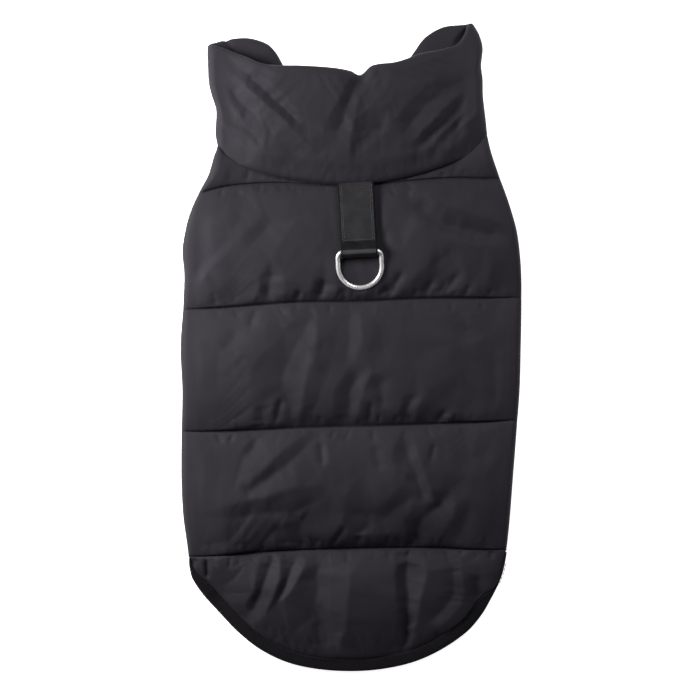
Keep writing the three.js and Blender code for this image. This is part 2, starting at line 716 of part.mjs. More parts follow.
// The wire ring: a straight bar, rounded corners, short sides and a half circle
function makeRing() {
  const path = [];
  const { halfWidth: half, corner, straight } = ring;
  const arc = (cx, cy, r, from, to, count) =>
    steps(count).forEach((s) => {
      const angle = radians(lerp(from, to, s));
      path.push(new THREE.Vector3(cx + r * Math.cos(angle), cy + r * Math.sin(angle), 0));
    });
  arc(half - corner, -corner, corner, 90, 0, 4);
  arc(0, -straight, half, 0, -180, 16);
  arc(-half + corner, -corner, corner, 180, 90, 4);
  path.push(new THREE.Vector3(-4, 0, 0), new THREE.Vector3(4, 0, 0));
  const count = path.length;
  const sides = 8;
  const points = path.flatMap((p, i) => {
    const direction = path[(i + 1) % count].clone().sub(path[(i + count - 1) % count]).normalize();
    const out = new THREE.Vector3(-direction.y, direction.x, 0);
    return steps(sides).slice(0, -1).map((s) => {
      const angle = 2 * Math.PI * (s + 0.5 / sides);
      return p.clone()
        .addScaledVector(out, ring.wire * Math.cos(angle))
        .add(new THREE.Vector3(0, 0, ring.wire * Math.sin(angle)));
    });
  });
  const mesh = solid(points, ringFaces(count, sides, true), "leash_ring", "steel");
  mesh.rotation.set(radians(ring.droop), 0, radians(tab.tilt), "ZYX");
  mesh.position.copy(tabPoint(tab.length, 0)).setZ(barHeight);
  return mesh;
}

const { belly, hem } = makeBelly();
const coat = new THREE.Group();
coat.add(
  makeBack(),
  makeTailFlap(),
  makeTailBinding(),
  belly,
  makeBellyBinding(hem),
  makeLegBinding(-1, "leg_binding_left"),
  makeLegBinding(1, "leg_binding_right"),
  makeCollar(),
  makeTab(),
  makeRing(),
);
export default coat;
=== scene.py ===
import math

import bmesh
import bpy
import numpy as np
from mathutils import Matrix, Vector
from mathutils.bvhtree import BVHTree
from mathutils.geometry import delaunay_2d_cdt


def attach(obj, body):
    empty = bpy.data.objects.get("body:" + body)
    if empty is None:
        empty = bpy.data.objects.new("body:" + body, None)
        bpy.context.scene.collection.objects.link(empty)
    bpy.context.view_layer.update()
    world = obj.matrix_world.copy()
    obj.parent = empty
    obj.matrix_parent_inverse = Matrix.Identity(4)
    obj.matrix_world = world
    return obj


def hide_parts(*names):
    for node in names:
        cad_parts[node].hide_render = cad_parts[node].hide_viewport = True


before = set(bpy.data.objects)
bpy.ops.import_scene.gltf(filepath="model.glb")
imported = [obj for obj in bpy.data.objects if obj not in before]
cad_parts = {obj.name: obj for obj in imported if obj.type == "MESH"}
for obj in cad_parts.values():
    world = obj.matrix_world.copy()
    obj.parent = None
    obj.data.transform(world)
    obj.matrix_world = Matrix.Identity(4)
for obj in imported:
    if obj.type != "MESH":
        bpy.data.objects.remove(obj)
for name in ("Cube", "Camera", "Light"):  # Blender's start-up objects
    if name in bpy.data.objects:
        bpy.data.objects.remove(bpy.data.objects[name])
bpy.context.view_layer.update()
scene = bpy.context.scene
mm = 0.001

# The coat's cut, as in the frame, but for the collar's rim, which lies a little lower
coat = {
    "gap": 0.3 * mm,
    "bellyThickness": 4 * mm,
    "sewnThickness": 2.2 * mm,  # where a quilt line holds the shell down
    "padding": 6.8 * mm,  # added at the middle of a tier
    "fullSpan": 55 * mm,  # a tier narrower than this is padded less
    "leastLoft": 1.2 * mm,  # no fold presses the shell flatter than this
    "lipWidth": 14 * mm,  # turned under at the side seams
    "sidePadding": 2.2 * mm,  # added to the roll at the sides
}
onBelly = coat["bellyThickness"] + coat["gap"]
sideRadius = (onBelly + coat["sewnThickness"]) / 2

bodyEdges = [  # y, left x, right x
    (145, -92.4, 93.4), (138, -91.6, 94.8), (130, -94.1, 97), (118, -97.6, 101.2), (105, -104.6, 106),
    (93, -109.9, 109.9), (80, -113.4, 113.4), (66, -115.4, 115.4), (50, -114.2, 116.6), (30, -114.9, 116.8),
    (0, -116.7, 116.2), (-30, -115.5, 115.4), (-60, -116.1, 113.2), (-90, -116.1, 110.8),
    (-115, -114.9, 108.9), (-135, -112.3, 107), (-148, -110.9, 105.1),
]
collarEdges = [  # share of the way up, left x, right x
    (0, -91.6, 93.4), (0.12, -92.9, 92.4), (0.34, -92.2, 90.3), (0.5, -95.3, 90), (0.62, -97.2, 89),
    (0.78, -97.9, 90), (0.9, -98.2, 87.6), (1, -98.2, 83.2),
]
# Lines across the coat: share of the way across, y
neckSeam = [
    (0, 138.3), (0.03, 133), (0.1, 126.2), (0.2, 120.2), (0.31, 116.3), (0.42, 114.2), (0.53, 113.9),
    (0.68, 117.9), (0.83, 125.6), (0.94, 135.2), (1, 145.1),
]
yokeLine = [(0, 104.6), (0.09, 110.1), (0.25, 112.6), (0.5, 110.8), (0.68, 113.6), (0.84, 116), (1, 115)]
chestLine = [(0, 25.6), (0.2, 28.4), (0.35, 30.8), (0.52, 31.1), (0.7, 33.2), (1, 33.9)]
waistLine = [(0, -57.8), (0.2, -56.8), (0.41, -54.8), (0.65, -53.4), (1, -49.9)]
tailLine = [(0, -143.4), (0.12, -142), (0.35, -139.3), (0.68, -137.6), (1, -138.4)]
collarNearTop = [
    (0, 206), (0.053, 203.2), (0.151, 196.2), (0.205, 191.6), (0.28, 189.8), (0.35, 189.5), (0.46, 188.2),
    (0.54, 186.3), (0.578, 183.8), (0.62, 189.8), (0.7, 191.9), (0.75, 194.6), (0.8, 198.2), (0.905, 203.2),
    (0.951, 207), (1, 221.4),
]
collarFarTop = [
    (0, 206), (0.053, 209.4), (0.121, 211.4), (0.159, 211.2), (0.205, 209), (0.235, 206), (0.265, 199.5),
    (0.3, 188), (0.38, 173), (0.5, 165), (0.64, 173), (0.769, 198.8), (0.818, 211.1), (0.886, 218.8),
    (0.955, 220.6), (1, 221.4),
]
tailOutline = [  # x, y round the outside of the binding
    (-110.9, -144.2), (-110.6, -150.2), (-108.5, -158.5), (-100.3, -170.9), (-89.3, -183.2),
    (-77.6, -195.4), (-62.5, -207.3), (-44, -216.2), (-24, -220.8), (-1.4, -222.4), (20.6, -221),
    (42.6, -216.2), (61.8, -207.6), (79.7, -195.2), (90, -183.2), (96.9, -170.9), (102.4, -158.5),
    (104.8, -150.2), (106.6, -140.2),
]

# Where the cloth's facets meet, in millimetres: crests are raised and hollows lowered
creases = [  # height, then x, y of each point along it
    (0.8, -89, 175, -82, 164, -73, 155), (-1.8, -83, 177, -75, 167, -65, 158),
    (1.3, -78, 184, -69, 174, -58, 165, -45, 154, -33, 142, -23, 129),
    (-2.4, -73, 188, -60, 176, -46, 163, -34, 151), (0.3, -61, 184, -45, 170, -31, 155),
    (-0.7, -61, 152, -47, 140, -35, 126), (0.6, 2, 186, -5, 174, -13, 160, -19, 145),
    (-1.6, 8, 184, 2, 174, -3, 164, -6, 153, -10, 142), (0.7, 12, 181, 5, 167, 3, 156, 0, 146, -1, 125),
    (-0.8, 5, 142, 3, 134, 2, 125), (0.6, 9, 162, 20, 163, 28, 162), (-1.3, 6, 148, 14, 147, 25, 149),
    (-1.1, 17, 192, 20, 181), (0.3, 13, 189, 15, 180), (0.8, 53, 180, 35, 162, 25, 147),
    (-1.4, 63, 175, 47, 160, 35, 145), (0.9, 87, 191, 76, 174, 61, 160, 41, 138),
    (-3.1, 88, 184, 80, 169, 65, 153, 46, 135), (-0.8, 82, 165, 68, 152, 53, 137),
    (-3.1, 84, 161, 71, 149, 57, 135), (0.2, 89, 156, 78, 144, 65, 133), (0.6, -58, 92, -76, 74),
    (-0.7, -54, 85, -71, 67), (0.9, -35, 90, -47, 74, -54, 59), (0.7, -62, 49, -64, 33),
    (-1.6, -54, 53, -56, 42, -58, 32), (0.5, -46, 49, -45, 33), (0.5, -26, 45, -29, 33),
    (-1.3, -18, 46, -21, 33), (0.7, -10, 43, -9, 34), (1.1, 42, 107, 62, 98, 85, 90, 111, 81),
    (-2.6, 40, 100, 51, 92, 62, 84, 78, 79, 108, 75), (0.2, 37, 92, 54, 79, 82, 71, 108, 68),
    (0.6, 69, 70, 48, 52, 38, 42), (-0.7, 76, 63, 58, 46, 43, 34), (-1.2, 31, 46, 21, 33),
    (0.5, 37, 40, 28, 32), (-1.5, -102, 57, -110, 48), (0.8, -98, 52, -108, 38),
    (0.6, -38, 20, -54, 2, -67, -13, -74, -25),
    (-1.2, -26, 22, -35, 6, -41, -6, -47, -20, -46, -29, -42, -39, -40, -53),
    (1, -23, 24, -23, 9, -24, -5, -29, -16, -32, -28, -33, -39, -36, -51), (0, -14, 20, -13, -2, -16, -16),
    (-0.6, -20, -27, -24, -38, -28, -51), (-0.9, -1, 24, -1, 5, -3, -9), (0.6, 7, 24, 8, 5, 3, -10),
    (0.1, 17, 19, 16, -2), (0.2, -1, -14, -10, -25, -12, -38, -13, -51),
    (-1.4, 7, -16, 2, -24, -1, -32, -1, -51), (0.6, 14, -13, 8, -32, 3, -51), (-0.6, 21, -33, 18, -51),
    (0.1, 36, -33, 31, -51), (-1.1, 43, -31, 38, -44, 36, -51), (0.6, 50, -31, 46, -40, 42, -51),
    (0, 56, -35, 51, -51), (0.3, -67, -38, -68, -51), (-1.2, -60, -39, -60, -53), (0.4, -53, -39, -53, -51),
    (-0.7, 67, -42, 58, -51), (0.4, 73, -43, 65, -51), (0.2, 72, 19, 91, 11), (-0.2, 69, 13, 89, 4),
    (0.3, -67, -60, -76, -71), (-1, -63, -61, -67, -68, -73, -75),
    (0.8, -34, -61, -41, -66, -51, -75, -60, -83, -71, -93, -82, -101),
    (-1.4, -26, -62, -34, -71, -41, -78, -51, -85, -60, -92, -68, -97), (0.7, -17, -62, -14, -77, -23, -88),
    (0.8, -86, -108, -72, -105, -58, -102, -44, -97, -34, -95, -24, -93, -15, -93),
    (-1.9, -88, -117, -71, -115, -55, -112, -42, -113, -33, -110, -24, -106, -17, -101),
    (0.2, -46, -120, -46, -135), (-1.5, -34, -115, -34, -126, -34, -137),
    (0.9, -12, -97, -6, -103, -3, -112, -7, -121, -14, -133), (-1, 14, -113, 10, -123, 3, -132),
    (0.5, 38, -87, 31, -98, 23, -105, 16, -110), (-1, 45, -98, 35, -107, 25, -115, 17, -121),
    (-0.1, 41, -108, 36, -119, 24, -125), (0.3, -2, -130, 20, -127, 38, -127),
    (0.5, 31, -62, 27, -76, 32, -86), (-1.6, 36, -62, 40, -77, 45, -88, 48, -98, 50, -107),
    (0.5, 43, -66, 48, -80, 54, -97, 57, -105), (-2, 68, -98, 57, -110, 46, -119, 45, -128, 42, -137),
    (1, 72, -105, 69, -116, 62, -126, 58, -136), (0, 82, -84, 80, -119), (0.4, 98, -56, 106, -64, 110, -75),
    (0.7, -61, -144, -65, -154, -66, -165, -72, -176, -78, -182),
    (-1.6, -54, -144, -56, -152, -59, -160, -63, -169, -67, -179, -72, -185),
    (0.9, -48, -143, -49, -160, -52, -168, -55, -177, -63, -188),
    (-1.2, -37, -143, -41, -152, -46, -165, -51, -174), (0.8, -31, -143, -32, -152, -38, -161, -45, -172),
    (-1.4, -23, -144, -23, -165, -24, -174, -29, -183, -19, -191, -15, -199, -19, -211),
    (2.2, -1, -143, -1, -160, -3, -176, -3, -191, -8, -204, -10, -212),
    (-0.4, 30, -142, 30, -160, 31, -176, 32, -194, 34, -209),
    (-3.4, 40, -142, 38, -152, 38, -168, 38, -184, 37, -208),
    (-0.4, 52, -146, 52, -156, 48, -169, 45, -184, 43, -196, 41, -207),
    (-1.6, 69, -146, 70, -157, 71, -167, 67, -174, 59, -183, 52, -190),
    (0.2, 75, -144, 76, -157, 78, -167, 76, -175, 65, -187, 56, -196), (-0.3, 90, -150, 87, -174),
]

puckers = [  # width, depth, then x, y of each point along it
    (6, 1, 61, 196, 82, 203), (5, 1, -61, 191, -57, 180), (4, 1.4, -91, 162, -86, 149),
    (3.2, 2, -17, 48, -23, 31), (2.4, 1.4, -34, 39, -38, 30), (2.4, 1.5, -5, 41, -4, 30),
    (2.6, 1.8, 36, 53, 25, 33), (2.6, 1.6, 27, 43, 19, 34), (2.4, 1.3, 56, 47, 50, 33),
    (2.6, 1.6, 74, 51, 62, 34), (2.2, 1.2, 82, 43, 76, 34), (2.4, 1.3, 66, 46, 58, 34),
    (2.2, 1.2, 36, 114, 43, 107), (4, 1.2, 23, 83, 20, 59), (7, 1, 82, 101, 106, 98),
    (5, 1, 71, 67, 54, 54), (3, 1.3, -65, 26, -69, 13), (2.6, 1.6, -47, -33, -52, -54),
    (2.4, 1.2, 65, -42, 58, -53), (8, 1.4, 97, -3, 100, -44), (5, 1.2, 19, -17, 23, -44),
    (2.4, 1.3, 14, -36, 12, -53), (5, 0.9, -76, 12, -87, -3), (2.6, 1.3, -21, -64, -19, -82),
    (4, 1.2, 16, -66, 20, -86), (2.2, 1.2, -23, -130, -24, -139), (2.2, 1.4, -3, -121, -14, -137),
    (5, 1.4, -49, -120, -45, -138), (6, 1.2, 82, -105, 71, -136), (2.2, 1.2, 57, -65, 54, -79),
    (1.5, 2.2, -99, -144, -98, -159), (5, 1.2, -23, -185, -20, -208), (5, 1.4, 87, -154, 85, -174),
    (3, 1.2, 58, -194, 60, -204), (5, 1.2, -78, -174, -68, -193),
]
# The same, inside the collar's ears
earCreases = [(1.6, 2.4, -87, 211, -84, 206, -80, 200), (2, 2.6, 83, 222, 77, 214, 70, 205)]


def smoothStep(t):
    t = np.clip(t, 0, 1)
    return t * t * (3 - 2 * t)


def curveOf(rows, column=1, keyScale=1.0):  # a smooth curve through a table's rows
    rows = sorted(rows)
    keys = np.array([row[0] for row in rows], float) * keyScale
    values = np.array([row[column] for row in rows], float) * mm
    last = len(keys) - 1
    before = np.maximum(np.arange(len(keys)) - 1, 0)
    after = np.minimum(np.arange(len(keys)) + 1, last)
    slopes = (values[after] - values[before]) / (keys[after] - keys[before])

    def at(x):
        i = np.clip(np.searchsorted(keys, x) - 1, 0, last - 1)
        span = keys[i + 1] - keys[i]
        t = np.clip((x - keys[i]) / span, 0, 1)
        rise = values[i] * (1 + 2 * t) * (1 - t) ** 2 + slopes[i] * span * t * (1 - t) ** 2
        return rise + values[i + 1] * t * t * (3 - 2 * t) + slopes[i + 1] * span * t * t * (t - 1)

    return at


leftEdge = curveOf(bodyEdges, 1, mm)
rightEdge = curveOf(bodyEdges, 2, mm)
seamLines = [curveOf(rows) for rows in (neckSeam, yokeLine, chestLine, waistLine, tailLine)]
neckY = seamLines[0]
tailY = seamLines[-1]


def mix(a, b, t):
    return a + (b - a) * t


# Small gathers that the stitching pulls into the cloth beside each quilt line
gathers = {"seed": 11, "spacing": (5, 15), "length": (4, 11), "width": (1.2, 2.2), "depth": (0.2, 0.9)}


def seamGathers():
    random = np.random.default_rng(gathers["seed"])
    rows = []
    for line in seamLines[1:]:
        for side in (-1, 1):
            x = -112.0
            while x < 112:
                y = float(line((x + 116) / 232)) / mm
                length = random.uniform(*gathers["length"])
                lean = random.uniform(-0.5, 0.5) * length
                width = random.uniform(*gathers["width"])
                depth = random.uniform(*gathers["depth"]) * (1 if random.random() < 0.7 else -0.6)
                rows.append((width, depth, x, y + side, x + lean, y + side * length))
                x += random.uniform(*gathers["spacing"])
    return rows


def foldDepth(x, y, rows):  # how far the folds lower the cloth there
    total = np.zeros_like(x)
    for width, depth, *points in rows:
        points = np.array(points).reshape(-1, 2) * mm
        lengths = np.hypot(*np.diff(points, axis=0).T)
        nearest = np.full(x.shape, 1.0)
        place = np.zeros_like(x)
        before = 0
        for start, end, length in zip(points, points[1:], lengths):
            ahead = (end - start) / length
            t = np.clip((x - start[0]) * ahead[0] + (y - start[1]) * ahead[1], 0, length)
            away = np.hypot(x - start[0] - t * ahead[0], y - start[1] - t * ahead[1])
            place = np.where(away < nearest, before + t, place)
            nearest = np.minimum(away, nearest)
            before += length
        ends = 0.15 + 0.85 * smoothStep(np.minimum(place, before - place) / (0.3 * before))
        total += depth * mm * ends * np.exp(-((nearest / (width * mm)) ** 1.7))
    return total


# The cloth lies in flat facets: broad ones between the creases, and small uneven ones all over
facets = {
    "height": 1.35,  # how high the creases stand
    "wander": 0.4,  # mm that a crease strays from its line
    "step": 4,  # mm between corners along a crease
    "spacing": 13,  # mm between the corners of the small facets
    "unevenness": 0.8,  # mm
    "seamStep": 8,  # mm between the corners along a seam, which stay level
    "clear": 17,  # mm from the creases to the other corners of the broad facets
    "seed": 7,
}


def lengthsAlong(points):  # from a line's first point to each of its points, in plan
    return np.concatenate([[0], np.cumsum(np.hypot(*np.diff(points, axis=0).T))])


def spacedAlong(points, step):
    points = np.array(points, float).reshape(-1, 2)
    along = lengthsAlong(points)
    at = np.linspace(0, along[-1], max(2, round(along[-1] / step) + 1))
    return np.stack([np.interp(at, along, points[:, k]) for k in (0, 1)], 1)


def facetNet(corners, heights):
    places = [Vector(corner) for corner in corners]
    corners, _, triangles, sources, *_ = delaunay_2d_cdt(places, [], [], 0, 1e-4)
    spots = [(*corner, heights[source[0]]) for corner, source in zip(corners, sources)]
    return BVHTree.FromPolygons(spots, triangles)


farCorners = [(-240, -300), (240, -300), (240, 300), (-240, 300)]  # well outside the coat


def creaseNet():
    random = np.random.default_rng(facets["seed"])
    corners, heights = [], []
    for height, *points in creases:
        line = spacedAlong(points, facets["step"])
        line += random.normal(0, facets["wander"], line.shape)
        height *= random.uniform(0.88, 1.12, len(line))
        share = np.linspace(0, 1, len(line))
        taper = mix(0.3, 1, smoothStep(np.minimum(share, 1 - share) / 0.2))
        corners += line.tolist()
        heights += (facets["height"] * height * taper).tolist()
    for line in seamLines:
        for x in range(-116, 117, facets["seamStep"]):
            corners.append((x, float(line((x + 116) / 232)) / mm))
    known = np.array(corners)
    for spot in random.uniform((-110, -205), (110, 195), (400, 2)):
        if np.hypot(*(known - spot).T).min() > facets["clear"]:
            corners.append(tuple(spot))
    corners += [(x, y) for y, *sides in bodyEdges for x in sides]
    corners += [(-98, 208), (83, 222), (-92, 160), (90, 160)] + tailOutline + farCorners
    return facetNet(corners, heights + [0] * (len(corners) - len(heights)))


def unevenNet():
    random = np.random.default_rng(facets["seed"])
    corners = np.array(farCorners, float)
    for spot in random.uniform((-122, -228), (122, 222), (5000, 2)):
        if np.hypot(*(corners - spot).T).min() > facets["spacing"] * random.uniform(0.6, 1.2):
            corners = np.vstack([corners, spot])
    return facetNet(corners, random.uniform(-1, 1, len(corners)) * facets["unevenness"])


def heightIn(net, x, y):
    hits = [net.ray_cast((a, b, 90), (0, 0, -1))[0] for a, b in zip(x.ravel() / mm, y.ravel() / mm)]
    height = np.array([0 if hit is None else hit.z for hit in hits]).reshape(x.shape) * mm
    for axis in (0, 1):
        rows = np.moveaxis(height, axis, 0)
        rows[1:-1] = (rows[:-2] + 2 * rows[1:-1] + rows[2:]) / 4
    return height


def creaseCloth(grid, fade, floor):  # presses the facets and the puckers into a sheet
    x, y, z = np.moveaxis(grid, 2, 0)
    change = heightIn(broadFacets, x, y) + heightIn(smallFacets, x, y)
    change -= foldDepth(x, y, puckers + gatherRows)
    grid[:, :, 2] = np.maximum(z + change * fade, np.minimum(floor, z))


# The hidden side's cut
bellyCut = {
    "hemMiddle": -84 * mm,
    "hemDrop": 52 * mm,
    "hemHalf": 97 * mm,
    "binding": 9 * mm,
    "legHoleY": 74 * mm,
    "legHoleHalf": 34 * mm,
    "legHoleDepth": 32 * mm,
    "legHoleIntoLip": 6 * mm,
    "legBinding": 5 * mm,
    "scoop": 23 * mm,  # the neckline is this much lower at the chest
    "scoopStart": 0.08,
    "drape": 22 * mm,  # past the hem the back comes down to the floor over this far
}


def bellyHemY(x):
    return bellyCut["hemMiddle"] - bellyCut["hemDrop"] * np.abs(x / bellyCut["hemHalf"]) ** 2.2


def restHeight(x, y):  # what the back lies on: the belly side, and past its hem the floor
    inArch = np.clip(x, -bellyCut["hemHalf"], bellyCut["hemHalf"])
    slope = (bellyHemY(inArch + mm) - bellyHemY(inArch - mm)) / (2 * mm)
    pastHem = (bellyHemY(inArch) - y) / np.hypot(1, slope) - bellyCut["binding"]
    return onBelly * (1 - smoothStep(pastHem / bellyCut["drape"]))


def scoop(across):
    t = np.clip((across - bellyCut["scoopStart"]) / (1 - 2 * bellyCut["scoopStart"]), 0, 1)
    return bellyCut["scoop"] * np.sin(np.pi * t) ** 2


def lipAt(y):
    t = np.clip((y - bellyCut["legHoleY"]) / bellyCut["legHoleHalf"], -1, 1)
    return coat["lipWidth"] - bellyCut["legHoleIntoLip"] * np.cos(np.pi * t / 2) ** 2


def puffShape(f, roundness=0.6):
    return np.sin(np.pi * np.clip(f, 0, 1)) ** roundness


def paddingOver(span):
    return coat["padding"] * np.clip(span / coat["fullSpan"], 0, 1)


# A quilt line: the channel above hangs over it a little
seam = {
    "depth": 0.7 * mm,
    "width": 1 * mm,
    "roundness": 0.5,
    "sag": 1.25,  # over 1, the padding hangs towards the lower line
    "rollOver": 2.4 * mm,
    "overhang": 0.9 * mm,
    "neckDepth": 0.8 * mm,
    "neckWidth": 1.6 * mm,
}

# The quilted back
backSheet = {
    "rows": (10, 38, 40, 40),  # in the yoke and each tier
    "across": 104,
    "roll": 9,  # points round each side
    "lip": 4,
    "under": 26,  # points across the plain underside
    "slope": 30 * mm,  # from the roll up to the full padding
}


def backRow(level):  # one row across the back, and the same row of its underside
    tier = min(int(level), len(seamLines) - 2)
    down = level - tier
    upper, lower = seamLines[tier], seamLines[tier + 1]

    def rowY(across):
        return mix(upper(across), lower(across), down)

    x0, x1 = float(leftEdge(rowY(0.0))), float(rightEdge(rowY(1.0)))
    width = x1 - x0
    puff = float(puffShape(down))
    r = sideRadius + coat["sidePadding"] * puff
    angles = np.radians(np.linspace(-90, 90, backSheet["roll"]))
    rollIn = r - r * np.cos(angles)
    rollUp = r + r * np.sin(angles)

    def lipIn(y):
        return np.linspace(lipAt(y), r, backSheet["lip"])[:-1]

    leftLip, rightLip = lipIn(float(rowY(0.0))), lipIn(float(rowY(1.0)))
    flat = np.linspace(r, width - r, backSheet["across"])[1:-1]
    fromLeft = np.concatenate([leftLip, rollIn, flat, width - rollIn[::-1], width - rightLip[::-1]])
    across = fromLeft / width
    x = x0 + fromLeft
    y = rowY(across)
    span = upper(across) - lower(across)
    low = restHeight(x, y)
    padding = paddingOver(span) * float(puffShape(down ** seam["sag"], seam["roundness"]))
    groove = seam["depth"] * np.exp(-((min(down, 1 - down) * span / seam["width"]) ** 2))
    if tier == 0:  # the collar's seam lies deeper
        groove += seam["neckDepth"] * np.exp(-((down * span / seam["neckWidth"]) ** 2))
    middle = low + coat["sewnThickness"] + padding - groove
    edge = np.minimum(x - leftEdge(y), rightEdge(y) - x)
    top = mix(2 * r, middle, smoothStep(edge / backSheet["slope"]))
    z = np.maximum(top, low + coat["sewnThickness"] * 0.55)
    u = (1 - down) * span / seam["rollOver"]
    n = len(leftLip)
    z[:n] = 0
    z[-n:] = 0
    z[n : n + len(rollUp)] = rollUp
    z[-n - len(rollUp) : -n] = rollUp[::-1]
    outer = np.stack([x, y - seam["overhang"] * u * np.exp(1 - u) * smoothStep(edge / (12 * mm)), z], 1)

    t = coat["sewnThickness"]
    turn = np.radians([-90, -30, 30, 90])
    insideIn = r - (r - t) * np.cos(turn)
    insideUp = r + (r - t) * np.sin(turn)
    plain = np.linspace(r + 4 * mm, width - r - 4 * mm, backSheet["under"])
    fromLeft = np.concatenate([leftLip[:1], insideIn, plain, width - insideIn[::-1], width - rightLip[:1]])
    across = fromLeft / width
    x, y = x0 + fromLeft, rowY(across)
    z = restHeight(x, y)
    z[0] = z[-1] = t
    z[1 : 1 + len(insideUp)] = insideUp
    z[-1 - len(insideUp) : -1] = insideUp[::-1]
    return outer, np.stack([x, y, z], 1)


def backLevels():  # closer together beside the quilt lines
    levels = []
    for tier, count in enumerate(backSheet["rows"]):
        s = np.arange(count) / count
        levels += list(tier + s - 0.07 * np.sin(2 * np.pi * s))
    return levels + [len(backSheet["rows"])]


# The padded rump flap
tailSheet = {"rows": 34, "columns": 132, "span": 70 * mm, "overBinding": 1.2 * mm}
binding = {
    "width": 9 * mm,
    "turnedWidth": 1.2 * mm,  # where it turns under at its ends
    "thickness": 3.2 * mm,
    "stitchIn": 1.6 * mm,
    "stations": 300,
    "leftTurn": 0.085,  # shares of its length
    "rightTurn": 0.065,
}


def pathAt(points, count):  # equally spaced points along a smooth path, and their inner side
    t = lengthsAlong(points)
    xOf, yOf = [curveOf(list(zip(t, points[:, k] / mm))) for k in (0, 1)]
    dense = np.linspace(0, t[-1], 3000)
    line = np.stack([xOf(dense), yOf(dense)], 1)
    along = lengthsAlong(line)
    at = np.linspace(0, along[-1], count + 1)
    spaced = np.stack([np.interp(at, along, line[:, k]) for k in (0, 1)], 1)
    tangent = np.gradient(spaced, axis=0)
    tangent /= np.hypot(*tangent.T)[:, None]
    return spaced, np.stack([-tangent[:, 1], tangent[:, 0]], 1)


def bindingWidth(share):  # narrow at the left, and turned under as far as the hip at the right
    fromRight = (1 - binding["rightTurn"] - share) / binding["leftTurn"]
    shown = np.minimum(share / binding["leftTurn"], fromRight)
    return mix(binding["turnedWidth"], binding["width"], smoothStep(shown))


def tailRows():
    count = tailSheet["columns"]
    edge, inward = pathAt(np.array(tailOutline) * mm, count)
    share = np.arange(count + 1) / count
    x0, x1 = float(leftEdge(tailY(0.0))), float(rightEdge(tailY(1.0)))
    start = np.stack([mix(x0, x1, share), tailY(share) + 0.1 * mm], 1)
    reach = bindingWidth(share) - tailSheet["overBinding"] * smoothStep(np.minimum(share, 1 - share) / 0.1)
    end = edge + inward * reach[:, None]
    span = np.hypot(*(start - end).T)
    for down in np.linspace(0, 1, tailSheet["rows"] + 1):
        x, y = mix(start, end, down).T
        low = restHeight(x, y)
        shape = puffShape(down, 0.5 if down < 0.5 else 0.42)
        puff = shape * np.clip(np.minimum(share, 1 - share) / 0.1, 0, 1) ** 0.5
        groove = seam["depth"] * math.exp(-((down * tailSheet["span"] / seam["width"]) ** 2))
        rise = paddingOver(span) * puff - groove
        top = np.maximum(low + coat["sewnThickness"] + rise, low + coat["leastLoft"])
        yield np.stack([x, y, top], 1), np.stack([x, y, low], 1)


# The collar, a flattened tube that stands open at the neck
collarSheet = {
    "rows": 40,
    "near": 112,
    "roll": 9,
    "far": 58,
    "mouth": 15 * mm,  # how far the near side stands off the far side at the rim
    "overhang": 6.2 * mm,
    "rimRows": 5,
}
collarLeft = curveOf(collarEdges, 1)
collarRight = curveOf(collarEdges, 2)
nearTop = curveOf(collarNearTop)
farTop = curveOf(collarFarTop)
nearWall = curveOf([  # share of the way up, thickness
    (0, 0.8), (0.04, 3.6), (0.08, 6.6), (0.13, 8.4), (0.2, 9.5), (0.3, 9.9), (0.45, 9.6), (0.7, 8.6),
    (0.85, 7.2), (0.95, 5.4), (1, 4),
])
farWall = curveOf([(0, 2.6), (0.15, 3.7), (0.5, 4), (0.85, 5.6), (0.95, 5), (1, 3.6)])


def collarRow(up):
    x0, x1 = float(collarLeft(up)), float(collarRight(up))
    width = x1 - x0
    near, far = float(nearWall(up)), float(farWall(up))
    r = float(mix(sideRadius, 6.6 * mm, smoothStep(up / 0.3)))
    bulge = collarSheet["overhang"] * (up / 0.06) * math.exp(1 - up / 0.06)

    def nearY(a):
        return mix(neckY(a) + 0.05 * mm, nearTop(a), up)

    def farY(a):
        return mix(neckY(a) - scoop(a) + coat["gap"], farTop(a), up)

    def mouthAt(a):
        lobes = np.sin(np.pi * np.clip(a, 0, 1)) ** 0.8
        crease = 0.35 * np.exp(-(((a - 0.575) / 0.06) ** 2))
        return collarSheet["mouth"] * up**1.3 * lobes * (1 - crease * up)

    under = 2 * r - min(near, r)
    inside = (under - far) / 2
    flat = np.linspace(r, width - r, collarSheet["near"])
    a = flat / width
    hold = smoothStep((np.minimum(a, 1 - a) * width - r) / (28 * mm))
    lower = onBelly + 1.2 * mm * smoothStep(up / 0.2) + mouthAt(a)
    overhang = bulge * smoothStep(np.minimum(a, 1 - a) / 0.06)
    x = x0 + flat
    y = nearY(a)
    outer = [np.stack([x, y - overhang, mix(2 * r, lower + near, hold)], 1)]
    inner = [np.stack([x, y, mix(under, lower, hold)], 1)]

    def turn(place, angles):
        c, s = np.cos(angles), np.sin(angles)
        for rows, out, middle, radius in ((outer, r, r, r), (inner, inside, far + inside, inside)):
            at = place(r - out * c)
            level = mix(farY(at), nearY(at), smoothStep((s + 0.6) / 1.2))
            rows.append(np.stack([x0 + at * width, level, middle + radius * s], 1))

    angles = np.radians(np.linspace(90, -90, collarSheet["roll"] + 2))[1:-1]
    turn(lambda d: 1 - d / width, angles)
    a = np.linspace(1 - r / width, r / width, collarSheet["far"])
    outer.append(np.stack([x0 + a * width, farY(a), np.zeros_like(a)], 1))
    inner.append(np.stack([x0 + a * width, farY(a), np.full_like(a, far)], 1))
    turn(lambda d: d / width, angles[::-1])
    return np.concatenate(outer), np.concatenate(inner)


gatherRows = seamGathers()
broadFacets, smallFacets = creaseNet(), unevenNet()
print("coat: cut ready")


